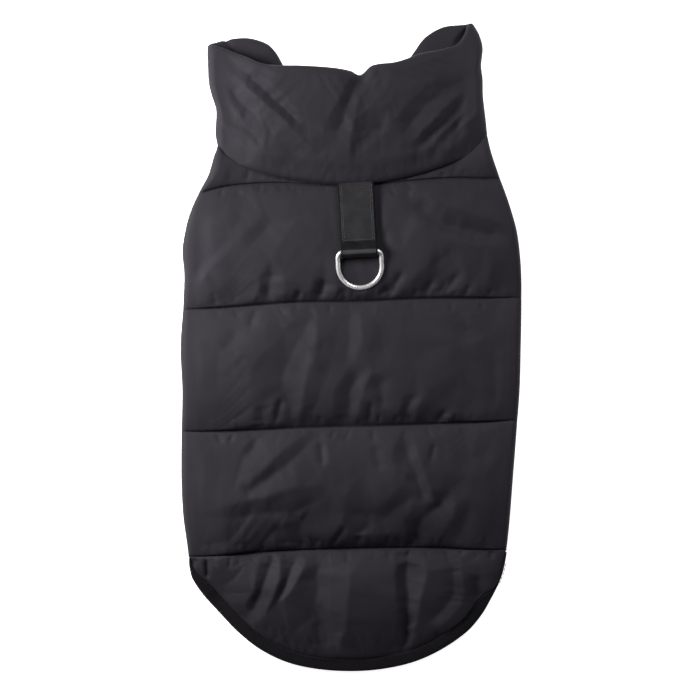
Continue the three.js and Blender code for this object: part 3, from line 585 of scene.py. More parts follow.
def refine(grid, axis, closed=False):  # twice as many rows or columns, on a smooth surface
    grid = np.moveaxis(grid, axis, 0)
    if closed:
        halves = (9 * (grid + np.roll(grid, -1, 0)) - np.roll(grid, 1, 0) - np.roll(grid, -2, 0)) / 16
        finer = np.empty((2 * len(grid),) + grid.shape[1:])
    else:
        halves = (grid[:-1] + grid[1:]) / 2
        halves[1:-1] = (9 * (grid[1:-2] + grid[2:-1]) - grid[:-3] - grid[3:]) / 16
        finer = np.empty((2 * len(grid) - 1,) + grid.shape[1:])
    finer[0::2], finer[1::2] = grid, halves
    return np.moveaxis(finer, 0, axis)


def gridFaces(rows, columns, start=0, wrapRows=False, wrapColumns=False):
    index = start + np.arange(rows * columns).reshape(rows, columns)
    if wrapRows:
        index = np.vstack([index, index[:1]])
    if wrapColumns:
        index = np.hstack([index, index[:, :1]])
    corners = [index[:-1, :-1], index[:-1, 1:], index[1:, 1:], index[1:, :-1]]
    return np.stack(corners, -1).reshape(-1, 4).tolist()


def slabFaces(rows, columns):  # two grids, one under the other, joined all round
    count = rows * columns
    index = np.arange(count).reshape(rows, columns)
    rim = np.concatenate([index[0, :-1], index[:-1, -1], index[-1, :0:-1], index[:0:-1, 0]])
    faces = gridFaces(rows, columns) + gridFaces(rows, columns, count)
    return faces + [(int(a), int(b), int(b + count), int(a + count)) for a, b in zip(rim, np.roll(rim, -1))]


def tubeFaces(rings, sides, start=0):  # a tube with both its ends closed
    last = start + (rings - 1) * sides
    ends = [tuple(range(first, first + sides)) for first in (start, last)]
    return gridFaces(rings, sides, start, False, True) + ends


def unit(rows):
    return rows / np.linalg.norm(rows, axis=1)[:, None]


def bridge(points, first, second):  # faces between two chains of point numbers that run side by side
    faces = []
    i = j = 0
    while i < len(first) - 1 or j < len(second) - 1:
        ahead = behind = math.inf
        if i < len(first) - 1:
            ahead = np.linalg.norm(points[first[i + 1]] - points[second[j]])
        if j < len(second) - 1:
            behind = np.linalg.norm(points[first[i]] - points[second[j + 1]])
        if ahead <= behind:
            faces.append((first[i], first[i + 1], second[j]))
            i += 1
        else:
            faces.append((first[i], second[j + 1], second[j]))
            j += 1
    return faces


def makeMesh(name, points, faces, uv=None):
    mesh = bpy.data.meshes.new(name)
    mesh.from_pydata(np.asarray(points).tolist(), [], faces)
    if uv is not None:
        layer = mesh.uv_layers.new(name="UVMap")
        corners = np.empty(len(mesh.loops), np.int32)
        mesh.loops.foreach_get("vertex_index", corners)
        layer.data.foreach_set("uv", np.asarray(uv, np.float32)[corners].ravel())
    edit = bmesh.new()
    edit.from_mesh(mesh)
    bmesh.ops.recalc_face_normals(edit, faces=edit.faces)
    edit.to_mesh(mesh)
    edit.free()
    mesh.shade_smooth()
    obj = bpy.data.objects.new(name, mesh)
    scene.collection.objects.link(obj)
    return obj


# The shell cloth is a little larger than the padding under it, so it crumples when it is sewn down
crumple = {
    "frames": 24,
    "extraCloth": 0.03,
    "fill": 0.5,  # how hard the padding pushes the cloth up
    "hold": 0.05,  # how firmly the padding keeps its shape
    "bending": 0.05,
    "limit": 4.5 * mm,
    "scale": 10,  # the cloth solver works best on things about a metre wide
    "sideHold": 0.5,  # at the sides, fading out over sideReach
    "sideReach": 45 * mm,
    "looseFrom": 8 * mm,  # from the sides, where the extra cloth starts
    "looseOver": 60 * mm,
}


def relax(sheets):  # each: grid of points, how firmly each is held, share of the extra cloth, closed across
    points = np.concatenate([grid.reshape(-1, 3) for grid, _, _, _ in sheets])
    held = np.concatenate([hold.ravel() for _, hold, _, _ in sheets])
    loose = np.concatenate([extra.ravel() for _, _, extra, _ in sheets])
    faces = []
    start = 0
    for grid, _, _, closed in sheets:
        faces += [face[::-1] for face in gridFaces(grid.shape[0], grid.shape[1], start, False, closed)]
        start += grid.shape[0] * grid.shape[1]
    mesh = bpy.data.meshes.new("crumple")
    mesh.from_pydata((points * crumple["scale"]).tolist(), [], faces)
    cloth = bpy.data.objects.new("crumple", mesh)
    scene.collection.objects.link(cloth)
    for name, weights in (("held", held), ("loose", loose)):
        group = cloth.vertex_groups.new(name=name)
        steps = np.round(weights, 2)
        for weight in np.unique(steps):
            group.add(np.flatnonzero(steps == weight).tolist(), float(weight), "REPLACE")
    modifier = cloth.modifiers.new("crumple", "CLOTH")
    settings = modifier.settings
    settings.quality = 5
    settings.mass = 0.3
    settings.tension_stiffness = 15
    settings.compression_stiffness = 15
    settings.shear_stiffness = 5
    settings.bending_stiffness = crumple["bending"]
    settings.tension_damping = settings.compression_damping = settings.shear_damping = 5
    settings.bending_damping = 0.5
    settings.air_damping = 2
    settings.vertex_group_shrink = "loose"
    settings.shrink_min = 0
    settings.shrink_max = -crumple["extraCloth"]
    settings.use_pressure = True
    settings.uniform_pressure_force = crumple["fill"]
    settings.vertex_group_mass = "held"
    settings.pin_stiffness = 1
    settings.effector_weights.gravity = 0
    modifier.collision_settings.use_collision = False
    modifier.point_cache.frame_start = 1
    modifier.point_cache.frame_end = crumple["frames"]
    for number in range(1, crumple["frames"] + 1):
        scene.frame_set(number)
    shape = cloth.evaluated_get(bpy.context.evaluated_depsgraph_get())
    moved = np.empty(len(points) * 3)
    shape.data.vertices.foreach_get("co", moved)
    moved = moved.reshape(-1, 3) / crumple["scale"] - points
    scene.frame_set(1)
    bpy.data.objects.remove(cloth)
    bpy.data.meshes.remove(mesh)
    reach = np.linalg.norm(moved, axis=1)
    print("coat: cloth crumpled by up to", round(float(np.nanmax(reach)) / mm, 1), "mm")
    moved *= (crumple["limit"] * np.tanh(reach / crumple["limit"]) / np.maximum(reach, 1e-9))[:, None]
    start = 0
    for grid, _, _, _ in sheets:
        count = grid.shape[0] * grid.shape[1]
        grid += moved[start : start + count].reshape(grid.shape)
        start += count


def sheetPair(rows):  # the outer and the inner sheet
    return [np.array(sheet) for sheet in zip(*rows)]


levels = backLevels()
backTop, backUnder = sheetPair(backRow(level) for level in levels)
tailTop, tailUnder = sheetPair(tailRows())
ups = np.linspace(0, 0.985, collarSheet["rows"] + 1)  # the rim's roll is added above the last
collarOuter, collarInner = sheetPair(collarRow(up) for up in ups)

seamRows = [int(np.argmin(np.abs(np.array(levels) - k))) for k in range(len(seamLines))]
edgeColumns = np.minimum(np.arange(backTop.shape[1]), backTop.shape[1] - 1 - np.arange(backTop.shape[1]))
fromSide = np.minimum(backTop[:, :, 0] - backTop[:, :1, 0], backTop[:, -1:, 0] - backTop[:, :, 0])
backLoose = smoothStep((fromSide - crumple["looseFrom"]) / crumple["looseOver"])
backHeld = mix(crumple["sideHold"], crumple["hold"], smoothStep(fromSide / crumple["sideReach"]))
backLoose[: seamRows[1]] = 0
backHeld[: seamRows[1]] = 1
backHeld[:, edgeColumns < 3 + backSheet["roll"] // 2] = 1
for row in seamRows:
    backHeld[row] = 1

# The leash strap; the padding under it is held still
strap = {
    "topX": 3.1 * mm,
    "topY": 112.3 * mm,
    "tilt": math.radians(3),
    "length": 47.5 * mm,
    "width": 25 * mm,
    "thickness": 1.35 * mm,
    "clearance": 0.5 * mm,
    "loop": 4.2 * mm,  # from the ring's bar to the outside of the strap
}
strapDown = np.array([math.sin(strap["tilt"]), -math.cos(strap["tilt"])])
strapAcross = np.array([math.cos(strap["tilt"]), math.sin(strap["tilt"])])
strapTop = np.array([strap["topX"], strap["topY"]])
fromTop = backTop[:, :, :2] - strapTop
alongStrap = fromTop @ strapDown
acrossStrap = fromTop @ strapAcross


def outsideStrap(points):
    out = points[:, :, :2] - strapTop
    return np.maximum(np.abs(out @ strapAcross) - strap["width"] / 2, out @ strapDown - strap["length"])


backHeld[outsideStrap(backTop) < 3 * mm] = 1

tailHeld = np.full(tailTop.shape[:2], crumple["hold"])
tailHeld[0] = tailHeld[-1] = 1
tailHeld[:, 0] = tailHeld[:, -1] = 1
collarHeld = np.full(collarOuter.shape[:2], 1.0)
collarHeld[2:-2, : collarSheet["near"]] = 3 * crumple["hold"]
collarHeld[-3:-1, : collarSheet["near"]] = 0.3
collarAcross = np.linspace(0, 1, collarSheet["near"])
collarLoose = np.zeros_like(collarHeld)
collarLoose[:, : collarSheet["near"]] = 0.5 * smoothStep(np.minimum(collarAcross, 1 - collarAcross) / 0.2)
tailAcross = np.linspace(0, 1, tailSheet["columns"] + 1)
tailLoose = np.ones_like(tailHeld) * smoothStep(np.minimum(tailAcross, 1 - tailAcross) / 0.15)

backFloor = restHeight(backTop[:, :, 0], backTop[:, :, 1]) + coat["leastLoft"]
backFloor = np.minimum(backFloor, backTop[:, :, 2])
tailFloor = tailUnder[:, :, 2] + coat["leastLoft"]
relax(
    [
        (backTop, backHeld, backLoose, False),
        (tailTop, tailHeld, tailLoose, False),
        (collarOuter, collarHeld, collarLoose, True),
    ]
)
backTop[:, :, 2] = np.maximum(backTop[:, :, 2], backFloor)
tailTop[:, :, 2] = np.maximum(tailTop[:, :, 2], tailFloor)


def buildBack():
    outer = refine(refine(backTop, 0), 1)
    x, y = outer[:, :, 0], outer[:, :, 1]
    puff = puffShape(refine(np.array(levels)[:, None], 0) % 1)
    edge = np.minimum(x - leftEdge(y), rightEdge(y) - x)
    fade = np.minimum(1, 2.5 * puff) * smoothStep((edge - 4 * mm) / (14 * mm))
    fade *= smoothStep((outsideStrap(outer) - 2 * mm) / (5 * mm))
    creaseCloth(outer, fade, restHeight(x, y) + coat["leastLoft"])
    inner = refine(backUnder, 0)
    points = np.concatenate([outer.reshape(-1, 3), inner.reshape(-1, 3)])
    start = outer.shape[0] * outer.shape[1]
    faces = gridFaces(*outer.shape[:2]) + gridFaces(*inner.shape[:2], start)
    upper = np.arange(start).reshape(outer.shape[:2])
    under = start + np.arange(inner.shape[0] * inner.shape[1]).reshape(inner.shape[:2])
    for column in (0, -1):
        above, below = upper[:, column].tolist(), under[:, column].tolist()
        faces += list(zip(above[:-1], above[1:], below[1:], below[:-1]))
    for row in (0, -1):
        faces += bridge(points, upper[row].tolist(), under[row].tolist())
    return makeMesh("backShell", points, faces), outer


def buildTail():
    outer = refine(refine(tailTop, 0), 1)
    inner = refine(refine(tailUnder, 0), 1)
    down = np.linspace(0, 1, len(outer))[:, None]
    side = np.linspace(0, 1, outer.shape[1])
    puff = puffShape(down) * np.clip(np.minimum(side, 1 - side) / 0.1, 0, 1) ** 0.5
    creaseCloth(outer, np.minimum(1.2, 3 * puff), inner[:, :, 2] + coat["leastLoft"])
    points = np.concatenate([outer.reshape(-1, 3), inner.reshape(-1, 3)])
    return makeMesh("tailFlapShell", points, slabFaces(*outer.shape[:2]))


def buildCollar():
    outer = refine(refine(collarOuter, 0), 1, True)
    inner = refine(refine(collarInner, 0), 1, True)
    far = inner[:, 2 * collarSheet["near"] :]
    far[:, :, 2] -= foldDepth(far[:, :, 0], far[:, :, 1], earCreases)
    near = outer[:, : 2 * collarSheet["near"] - 1]
    up = np.linspace(0, 1, len(outer))[:, None]
    side = np.linspace(0, 1, near.shape[1])
    fade = smoothStep(up / 0.15) * np.clip((1 - up) / 0.1 + 0.3, 0, 0.8)
    fade = fade * smoothStep((np.minimum(side, 1 - side) - 0.02) / 0.06)
    creaseCloth(near, fade, inner[:, : near.shape[1], 2] + coat["leastLoft"])
    middle = (outer[-1] + inner[-1]) / 2
    half = (outer[-1] - inner[-1]) / 2
    ahead = unit(outer[-1] - outer[-5])
    thick = np.linalg.norm(half, axis=1)[:, None]
    rim = []
    for angle in np.linspace(0, np.pi, collarSheet["rimRows"] + 2)[1:-1]:
        rim.append(middle + half * math.cos(angle) + ahead * thick * math.sin(angle))
    grid = np.concatenate([outer, np.array(rim), inner[::-1]])
    return makeMesh("collarShell", grid.reshape(-1, 3), gridFaces(*grid.shape[:2], 0, True, True))


backShell, backSurface = buildBack()
tailFlapShell = buildTail()
collarShell = buildCollar()
print("coat: quilted shell ready")

# A ribbed strip folded over an edge, its section as shares of its width and thickness
stripSection = [
    (1, 0), (1, 0.45), (0.98, 0.75), (0.9, 0.95), (0.75, 1), (0.5, 0.97), (0.25, 1), (0.12, 0.93),
    (0.04, 0.72), (0, 0.42), (0.03, 0.16), (0.1, 0.02), (0.2, 0), (0.6, 0),
]


def buildStrip(name, edge, inward, width, thickness, low, closed=False):
    width = np.broadcast_to(width, len(edge))
    low = np.broadcast_to(low, len(edge))
    along = lengthsAlong(edge)
    waves = 1 + 0.05 * np.sin(along / (23 * mm)) + 0.04 * np.sin(along / (8.7 * mm) + 2)
    points, uv = [], []
    for share, height in stripSection:
        plan = edge + inward * (share * width)[:, None]
        points.append(np.column_stack([plan, low + height * thickness * waves]))
        uv.append(np.column_stack([along, np.full(len(edge), share * binding["width"])]))
    grid = np.stack(points, 1)
    faces = gridFaces(*grid.shape[:2], 0, True, True) if closed else tubeFaces(*grid.shape[:2])
    return makeMesh(name, grid.reshape(-1, 3), faces, np.stack(uv, 1).reshape(-1, 2))


share = np.arange(binding["stations"] + 1) / binding["stations"]
edge, inward = pathAt(np.array(tailOutline) * mm, binding["stations"])
width = bindingWidth(share)
middle = edge + inward * (width / 2)[:, None]
low = restHeight(middle[:, 0], middle[:, 1])
tailBinding = buildStrip("tailBinding", edge, inward, width, binding["thickness"], low)
stitchPlan = edge + inward * (width - binding["stitchIn"])[:, None]
tailStitchLine = np.column_stack([stitchPlan, low + binding["thickness"] * 1.01])


def underSeam(side, y):  # the belly side's edge, just inside the turned lip
    edgeAt = leftEdge if side < 0 else rightEdge
    return edgeAt(y) - side * (lipAt(y) + coat["gap"])


def legHoleEdge(side, inset, count):
    angle = np.linspace(np.pi / 2, -np.pi / 2, count)
    y = bellyCut["legHoleY"] + (bellyCut["legHoleHalf"] - inset) * np.sin(angle)
    depth = (bellyCut["legHoleDepth"] - inset) * np.clip(np.cos(angle), 0, 1) ** 1.6
    return np.column_stack([underSeam(side, y) - side * depth, y])


def bellySide(side):
    top = float(neckY(bellyCut["scoopStart"] if side < 0 else 1 - bellyCut["scoopStart"])) - coat["gap"]
    holeTop = bellyCut["legHoleY"] + bellyCut["legHoleHalf"]
    holeBottom = bellyCut["legHoleY"] - bellyCut["legHoleHalf"]
    hem = bellyCut["hemMiddle"] - bellyCut["hemDrop"]
    for _ in range(6):  # closes in on where the hem meets the side
        hem = float(bellyHemY(underSeam(side, hem)))
    shoulder = np.linspace(top, holeTop, 9)[:-1]
    flank = np.linspace(holeBottom, hem, 34)[1:]
    seam = [np.column_stack([underSeam(side, y), y]) for y in (shoulder, flank)]
    return np.concatenate([seam[0], legHoleEdge(side, 0, 29), seam[1]])


# The belly side, one plain layer on the floor
bellySheet = {"columns": 74, "ripple": 0.5 * mm, "seed": 5}


def buildBelly():
    left, right = bellySide(-1), bellySide(1)
    random = np.random.default_rng(bellySheet["seed"])
    waves = [(random.uniform(40, 170), random.uniform(0, 6.3), random.uniform(0, 6.3)) for _ in range(9)]
    a = np.linspace(0, 1, bellySheet["columns"] + 1)
    across = mix(bellyCut["scoopStart"], 1 - bellyCut["scoopStart"], a)
    upper, lower = [], []
    for i, (l, r) in enumerate(zip(left, right)):
        down = i / (len(left) - 1)
        neckDrop = neckY(across) - scoop(across) - coat["gap"] - mix(left[0, 1], right[0, 1], a)
        hemRise = bellyHemY(mix(left[-1, 0], right[-1, 0], a)) - mix(left[-1, 1], right[-1, 1], a)
        x = mix(l[0], r[0], a)
        y = mix(l[1], r[1], a) + (1 - down) ** 1.3 * neckDrop + down**1.5 * hemRise
        inset = np.minimum(a, 1 - a) * (r[0] - l[0])
        full = smoothStep(inset / (12 * mm)) * smoothStep(down * 8) * smoothStep((1 - down) * 8)
        ripple = sum(np.sin(f * (x * math.cos(t) + y * math.sin(t)) + p) for f, t, p in waves) / 3
        rise = bellySheet["ripple"] * np.clip(ripple, 0, 1.5) * full
        upper.append(np.column_stack([x, y, mix(coat["sewnThickness"], coat["bellyThickness"], full)]))
        lower.append(np.column_stack([x, y, rise]))
    upper, lower = np.array(upper), np.array(lower)
    points = np.concatenate([upper.reshape(-1, 3), lower.reshape(-1, 3)])
    return makeMesh("bellyPanel", points, slabFaces(*upper.shape[:2])), lower[-1, :, :2]


bellyPanel, bellyHem = buildBelly()
edge, inward = pathAt(bellyHem[::6], 180)
outside = edge - inward * binding["width"]
bellyBinding = buildStrip(
    "bellyBinding", outside, inward, binding["width"] - 1.5 * coat["gap"], binding["thickness"], 0.0
)


def buildLegBinding(side, name):
    y = bellyCut["legHoleY"] + (bellyCut["legHoleHalf"] - 1.5 * mm) * np.linspace(-1, 1, 26)[1:-1]
    edgeAt = leftEdge if side < 0 else rightEdge
    lip = np.column_stack([edgeAt(y) - side * (lipAt(y) + 0.5 * mm), y])
    outline = np.concatenate([legHoleEdge(side, coat["gap"], 60), lip])
    centre = np.array([outline[0, 0] - side * 11 * mm, bellyCut["legHoleY"]])
    thickness = binding["thickness"] - 0.6 * mm
    return buildStrip(name, outline, unit(centre - outline), bellyCut["legBinding"], thickness, 0.0, True)


legBindingLeft = buildLegBinding(-1, "legBindingLeft")
legBindingRight = buildLegBinding(1, "legBindingRight")
print("coat: belly side and bindings ready")


# The wire ring: a straight bar, rounded corners, short sides and a half circle
wireRing = {
    "wire": 1.55 * mm,
    "halfWidth": 14.8 * mm,
    "straight": 10.2 * mm,
    "corner": 4 * mm,
    "droop": math.radians(13),
    "barHeight": 17.55 * mm,
    "sides": 24,
}


def underStrapAt(s):  # the highest that the back stands under the strap there
    near = (np.abs(acrossStrap) < strap["width"] / 2 + mm) & (np.abs(alongStrap - s) < 4 * mm)
    return float(backTop[:, :, 2][near].max())


def buildStrap():
    t = strap["thickness"]
    s = np.linspace(0, strap["length"] - 6 * mm, 40)
    level = np.array([underStrapAt(v) for v in s])
    level = np.convolve(np.pad(level, 3, "edge"), np.ones(7) / 7, "valid") + strap["clearance"]
    barZ = wireRing["barHeight"]
    lowerPath = np.column_stack([s, level + t / 2])
    upperPath = np.column_stack([s, level + 1.55 * t + 0.15 * mm])[::-1]
    turn = np.radians(np.linspace(-112, 115, 26))
    loop = strap["loop"] - t / 2
    loopPath = np.column_stack([strap["length"] + loop * np.cos(turn), barZ + loop * np.sin(turn)])
    path = np.concatenate([lowerPath, loopPath, upperPath])
    smooth = path.copy()
    for _ in range(3):
        smooth[1:-1] = (smooth[:-2] + 2 * smooth[1:-1] + smooth[2:]) / 4
    path = smooth
    tangent = unit(np.gradient(path, axis=0))
    normal = np.column_stack([tangent[:, 1], -tangent[:, 0]])
    along = lengthsAlong(path)
    half = strap["width"] / 2
    section = [(-half, 0), (-half + 0.25 * mm, 0.42)]
    section += [(w, 0.5) for w in np.linspace(-half + 0.8 * mm, half - 0.8 * mm, 24)]
    section += [(half - 0.25 * mm, 0.42), (half, 0)]
    section += [(w, -h) for w, h in section[-2:0:-1]]
    points, uv = [], []
    for w, h in section:
        at = path + normal * (h * t)
        plan = strapTop + at[:, :1] * strapDown + w * strapAcross
        points.append(np.column_stack([plan, at[:, 1]]))
        uv.append(np.column_stack([along, np.full(len(along), w)]))
    grid = np.stack(points, 1)
    faces = tubeFaces(*grid.shape[:2])
    obj = makeMesh("leashStrap", grid.reshape(-1, 3), faces, np.stack(uv, 1).reshape(-1, 2))
    upper = level + 2.05 * t + 0.15 * mm
    return obj, lambda v: float(np.interp(v, s, upper))


leashStrap, strapSurface = buildStrap()


def buildRing():
    size = wireRing
    half, corner, straight = size["halfWidth"], size["corner"], size["straight"]
    path = []

    def arc(cx, cy, radius, start, end, count):
        for angle in np.radians(np.linspace(start, end, count + 1)):
            path.append((cx + radius * math.cos(angle), cy + radius * math.sin(angle)))

    arc(half - corner, -corner, corner, 90, 0, 14)
    path.append((half, -corner - 3 * mm))
    arc(0, -straight, half, 0, -180, 60)
    path.append((-half, -corner - 3 * mm))
    arc(-half + corner, -corner, corner, 180, 90, 14)
    path += [(x * mm, 0) for x in (-8, -5, -2, 0, 2, 5, 8)]
    path = np.array(path)
    tangent = unit(np.roll(path, -1, 0) - np.roll(path, 1, 0))
    out = np.column_stack([-tangent[:, 1], tangent[:, 0]])
    grid = []
    for angle in np.linspace(0, 2 * np.pi, size["sides"] + 1)[:-1]:
        plan = path + out * size["wire"] * math.cos(angle)
        grid.append(np.column_stack([plan, np.full(len(path), size["wire"] * math.sin(angle))]))
    grid = np.stack(grid, 1)
    c, s = math.cos(size["droop"]), math.sin(size["droop"])
    points = grid.reshape(-1, 3) @ np.array([[1, 0, 0], [0, c, s], [0, -s, c]])
    c, s = math.cos(strap["tilt"]), math.sin(strap["tilt"])
    points = points @ np.array([[c, s, 0], [-s, c, 0], [0, 0, 1]])
    bar = strapTop + strapDown * strap["length"]
    points += np.array([bar[0], bar[1], size["barHeight"]])
    return makeMesh("leashRing", points, gridFaces(*grid.shape[:2], 0, True, True))


leashRing = buildRing()
print("coat: strap and ring ready")

# Thread: one small raised stitch after another
thread = {"stitch": 2.3 * mm, "pitch": 3.1 * mm, "radius": 0.22 * mm}


def stitchesAlong(line, length):  # line: points in space; stitches lie on it
    steps = np.linalg.norm(np.diff(line, axis=0), axis=1)
    along = np.concatenate([[0], np.cumsum(steps)])
    pitch = thread["pitch"] * length
    places = np.arange(pitch, along[-1] - pitch, pitch)
    centre = np.stack([np.interp(places, along, line[:, k]) for k in range(3)], 1)
    ahead = np.stack([np.interp(places + mm, along, line[:, k]) for k in range(3)], 1)
    direction = unit(ahead - centre)
    side = np.cross((0, 0, 1), direction)
    side /= np.maximum(np.linalg.norm(side, axis=1)[:, None], 1e-9)
    return centre, direction, np.cross(direction, side)


def buildStitches(name, lines, length=1):
    rings = [(-1, 0.35, -0.9), (-0.8, 0.85, -0.1), (0, 1, 0.25), (0.8, 0.85, -0.1), (1, 0.35, -0.9)]
    sides = 6
    points, faces = [], []
    for line in lines:
        for centre, direction, normal in zip(*stitchesAlong(line, length)):
            across = np.cross(direction, normal)
            start = len(points)
            for along, radius, lift in rings:
                middle = centre + direction * along * thread["stitch"] * length / 2
                middle = middle + normal * lift * thread["radius"]
                for k in range(sides):
                    angle = 2 * np.pi * k / sides
                    spoke = across * math.cos(angle) + normal * math.sin(angle)
                    points.append(middle + spoke * radius * thread["radius"])
            faces += tubeFaces(len(rings), sides, start)
    return makeMesh(name, points, faces)


lip = 2 * (backSheet["lip"] - 1) + 2 * (backSheet["roll"] // 2)
quiltLines = [backSurface[2 * row, lip:-lip] for row in seamRows[1:-1]]
quiltLines.append(backSurface[-3, lip:-lip])
quiltStitches = buildStitches("quiltStitches", quiltLines)
bindingStitches = buildStitches("bindingStitches", [tailStitchLine[4:-4]])


def onStrap(s, w):
    plan = strapTop + s * strapDown + w * strapAcross
    return np.array([plan[0], plan[1], strapSurface(s)])


sewing = {
    "fromEdge": 1.7 * mm,
    "apart": 1.2 * mm,
    "stagger": 0.8 * mm,
    "end": 41 * mm,
    "crossRow": 39.5 * mm,
    "length": 0.6,  # of the other stitches
}
strapEdge = strap["width"] / 2 - sewing["fromEdge"]
strapRows = (-strapEdge, sewing["apart"] - strapEdge, strapEdge - sewing["apart"], strapEdge)
strapLines = []
for number, w in enumerate(strapRows):
    first = number % 2 * sewing["stagger"]
    strapLines.append(np.array([onStrap(s, w) for s in np.linspace(first, sewing["end"], 60)]))
crossing = np.linspace(-strapEdge, strapEdge, 20)
strapLines.append(np.array([onStrap(sewing["crossRow"], w) for w in crossing]))
strapStitches = buildStitches("strapStitches", strapLines, sewing["length"])
print("coat: stitching ready")


# Finishes
finishes = {
    "shell": {
        "colour": (0.0232, 0.0202, 0.0262), "roughness": 0.66, "specular": 0.12,
        "sheen": 0.04, "sheenRoughness": 0.3,
    },
    "knit": {
        "colour": (0.009, 0.0076, 0.0095), "roughness": 0.9, "specular": 0.1,
        "sheen": 0.02, "sheenRoughness": 0.5,
    },
    "webbing": {
        "colour": (0.0408, 0.0406, 0.0445), "roughness": 0.7, "specular": 0.15,
        "sheen": 0.03, "sheenRoughness": 0.4,
    },
    "strapThread": {"colour": (0.047, 0.0475, 0.05), "roughness": 0.6, "specular": 0.3},
    "thread": {
        "colour": (0.008, 0.0072, 0.0086), "roughness": 0.7, "specular": 0.15,
        "sheen": 0.02, "sheenRoughness": 0.4,
    },
    "steel": {"colour": (0.92, 0.92, 0.92), "roughness": 0.3, "metallic": 0.7},
}


class Paint:  # a material under construction
    def __init__(self, name, look):
        self.material = bpy.data.materials.new(name)
        self.material.use_nodes = True
        self.nodes = self.material.node_tree.nodes
        self.links = self.material.node_tree.links
        self.nodes.clear()
        output = self.add("ShaderNodeOutputMaterial")
        self.shader = self.add("ShaderNodeBsdfPrincipled")
        self.links.new(self.shader.outputs["BSDF"], output.inputs["Surface"])
        self.set("Base Color", (*look["colour"], 1))
        self.set("Roughness", look["roughness"])
        self.set("Metallic", look.get("metallic", 0))
        self.set("Specular IOR Level", look.get("specular", 0.5))
        self.set("Sheen Weight", look.get("sheen", 0))
        self.set("Sheen Roughness", look.get("sheenRoughness", 0.5))

    def add(self, kind, **values):
        node = self.nodes.new(kind)
        for key, value in values.items():
            setattr(node, key, value)
        return node

    def set(self, name, value):
        self.shader.inputs[name].default_value = value

    def place(self, kind, scale=(1, 1, 1), turn=(0, 0, 0)):
        source = self.add("ShaderNodeTexCoord")
        mapping = self.add("ShaderNodeMapping")
        mapping.inputs["Scale"].default_value = scale
        mapping.inputs["Rotation"].default_value = turn
        self.links.new(source.outputs[kind], mapping.inputs["Vector"])
        return mapping.outputs["Vector"]

    def noise(self, vector, scale, detail=3.0, roughness=0.5, distortion=0.0):
        node = self.add("ShaderNodeTexNoise")
        values = (scale, detail, roughness, distortion)
        for key, value in zip(("Scale", "Detail", "Roughness", "Distortion"), values):
            node.inputs[key].default_value = value
        self.links.new(vector, node.inputs["Vector"])
        return node.outputs["Fac"]

    def wave(self, vector, period, direction):  # stripes of that period, in metres
        node = self.add("ShaderNodeTexWave", bands_direction=direction)
        node.inputs["Scale"].default_value = 2 * math.pi / 20 / period
        self.links.new(vector, node.inputs["Vector"])
        return node.outputs["Fac"]

    def math(self, operation, first, second):
        node = self.add("ShaderNodeMath", operation=operation)
        for socket, value in zip(node.inputs, (first, second)):
            if isinstance(value, (int, float)):
                socket.default_value = value
            else:
                self.links.new(value, socket)
        return node.outputs[0]

    def ramp(self, value, low, high, start=0.3, end=0.7):
        node = self.add("ShaderNodeMapRange")
        for key, number in (("From Min", start), ("From Max", end), ("To Min", low), ("To Max", high)):
            node.inputs[key].default_value = number
        self.links.new(value, node.inputs["Value"])
        return node.outputs["Result"]

    def tint(self, colour, value):  # the colour, darker or lighter by the value
        node = self.add("ShaderNodeVectorMath", operation="SCALE")
        node.inputs[0].default_value = colour
        self.links.new(value, node.inputs["Scale"])
        self.links.new(node.outputs["Vector"], self.shader.inputs["Base Color"])

    def bump(self, height, distance, strength=1.0, after=None):
        node = self.add("ShaderNodeBump")
        node.inputs["Distance"].default_value = distance
        node.inputs["Strength"].default_value = strength
        self.links.new(height, node.inputs["Height"])
        if after is not None:
            self.links.new(after, node.inputs["Normal"])
        return node.outputs["Normal"]

    def normal(self, value):
        self.links.new(value, self.shader.inputs["Normal"])


def paintShell():
    look = finishes["shell"]
    paint = Paint("taffeta", look)
    here = paint.place("Object")
    crinkle = paint.noise(paint.place("Object", (1, 0.45, 1)), 95, 4, 0.55, 0.6)
    broad = paint.noise(here, 28, 2)
    warp = paint.wave(here, 0.42 * mm, "X")
    weft = paint.wave(here, 0.5 * mm, "Y")
    weave = paint.math("MULTIPLY", warp, weft)
    patches = paint.noise(here, 14, 3)
    lint = paint.noise(paint.place("Object", (1, 0.25, 1), (0, 0, 0.6)), 900, 2)
    specks = paint.ramp(lint, 0, 0.5, 0.74, 0.8)
    tone = paint.math("ADD", paint.ramp(patches, 0.85, 1.15), specks)
    paint.tint(look["colour"], paint.math("ADD", tone, paint.ramp(weave, -0.08, 0.08, 0, 1)))
    rough = paint.math("ADD", paint.ramp(patches, -0.05, 0.05), look["roughness"])
    paint.links.new(rough, paint.shader.inputs["Roughness"])
    coarse = paint.bump(broad, 1.2 * mm, 0.6)
    fine = paint.bump(crinkle, 0.5 * mm, 0.5, coarse)
    paint.normal(paint.bump(weave, 0.03 * mm, 0.35, fine))
    return paint.material


def paintKnit():
    look = finishes["knit"]
    paint = Paint("ribbedKnit", look)
    here = paint.place("UV")
    ribs = paint.wave(here, 1.2 * mm, "X")
    rows = paint.wave(here, 0.8 * mm, "Y")
    knit = paint.math("MULTIPLY", ribs, paint.ramp(rows, 0.6, 1, 0, 1))
    worn = paint.noise(paint.place("Object"), 60, 3)
    tone = paint.math("ADD", paint.ramp(ribs, 0.6, 1.3, 0, 1), paint.ramp(worn, -0.15, 0.2))
    paint.tint(look["colour"], tone)
    paint.normal(paint.bump(knit, 0.3 * mm, 0.7))
    return paint.material


# The strap has painted shade in its loop, painted shadow lines along its selvedges and a painted highlight
# on the loop's crown
strapPaintedLight = {
    "loop": (0.0665, 0.068),  # sets in over these metres along the webbing
    "crownAt": 0.0585,
    "crownHighlight": (0.0006, 0.0016),  # fades over these, from the crown
    "selvedgeShadow": (0.0112, 0.0116),  # sets in over these, from the webbing's middle
}


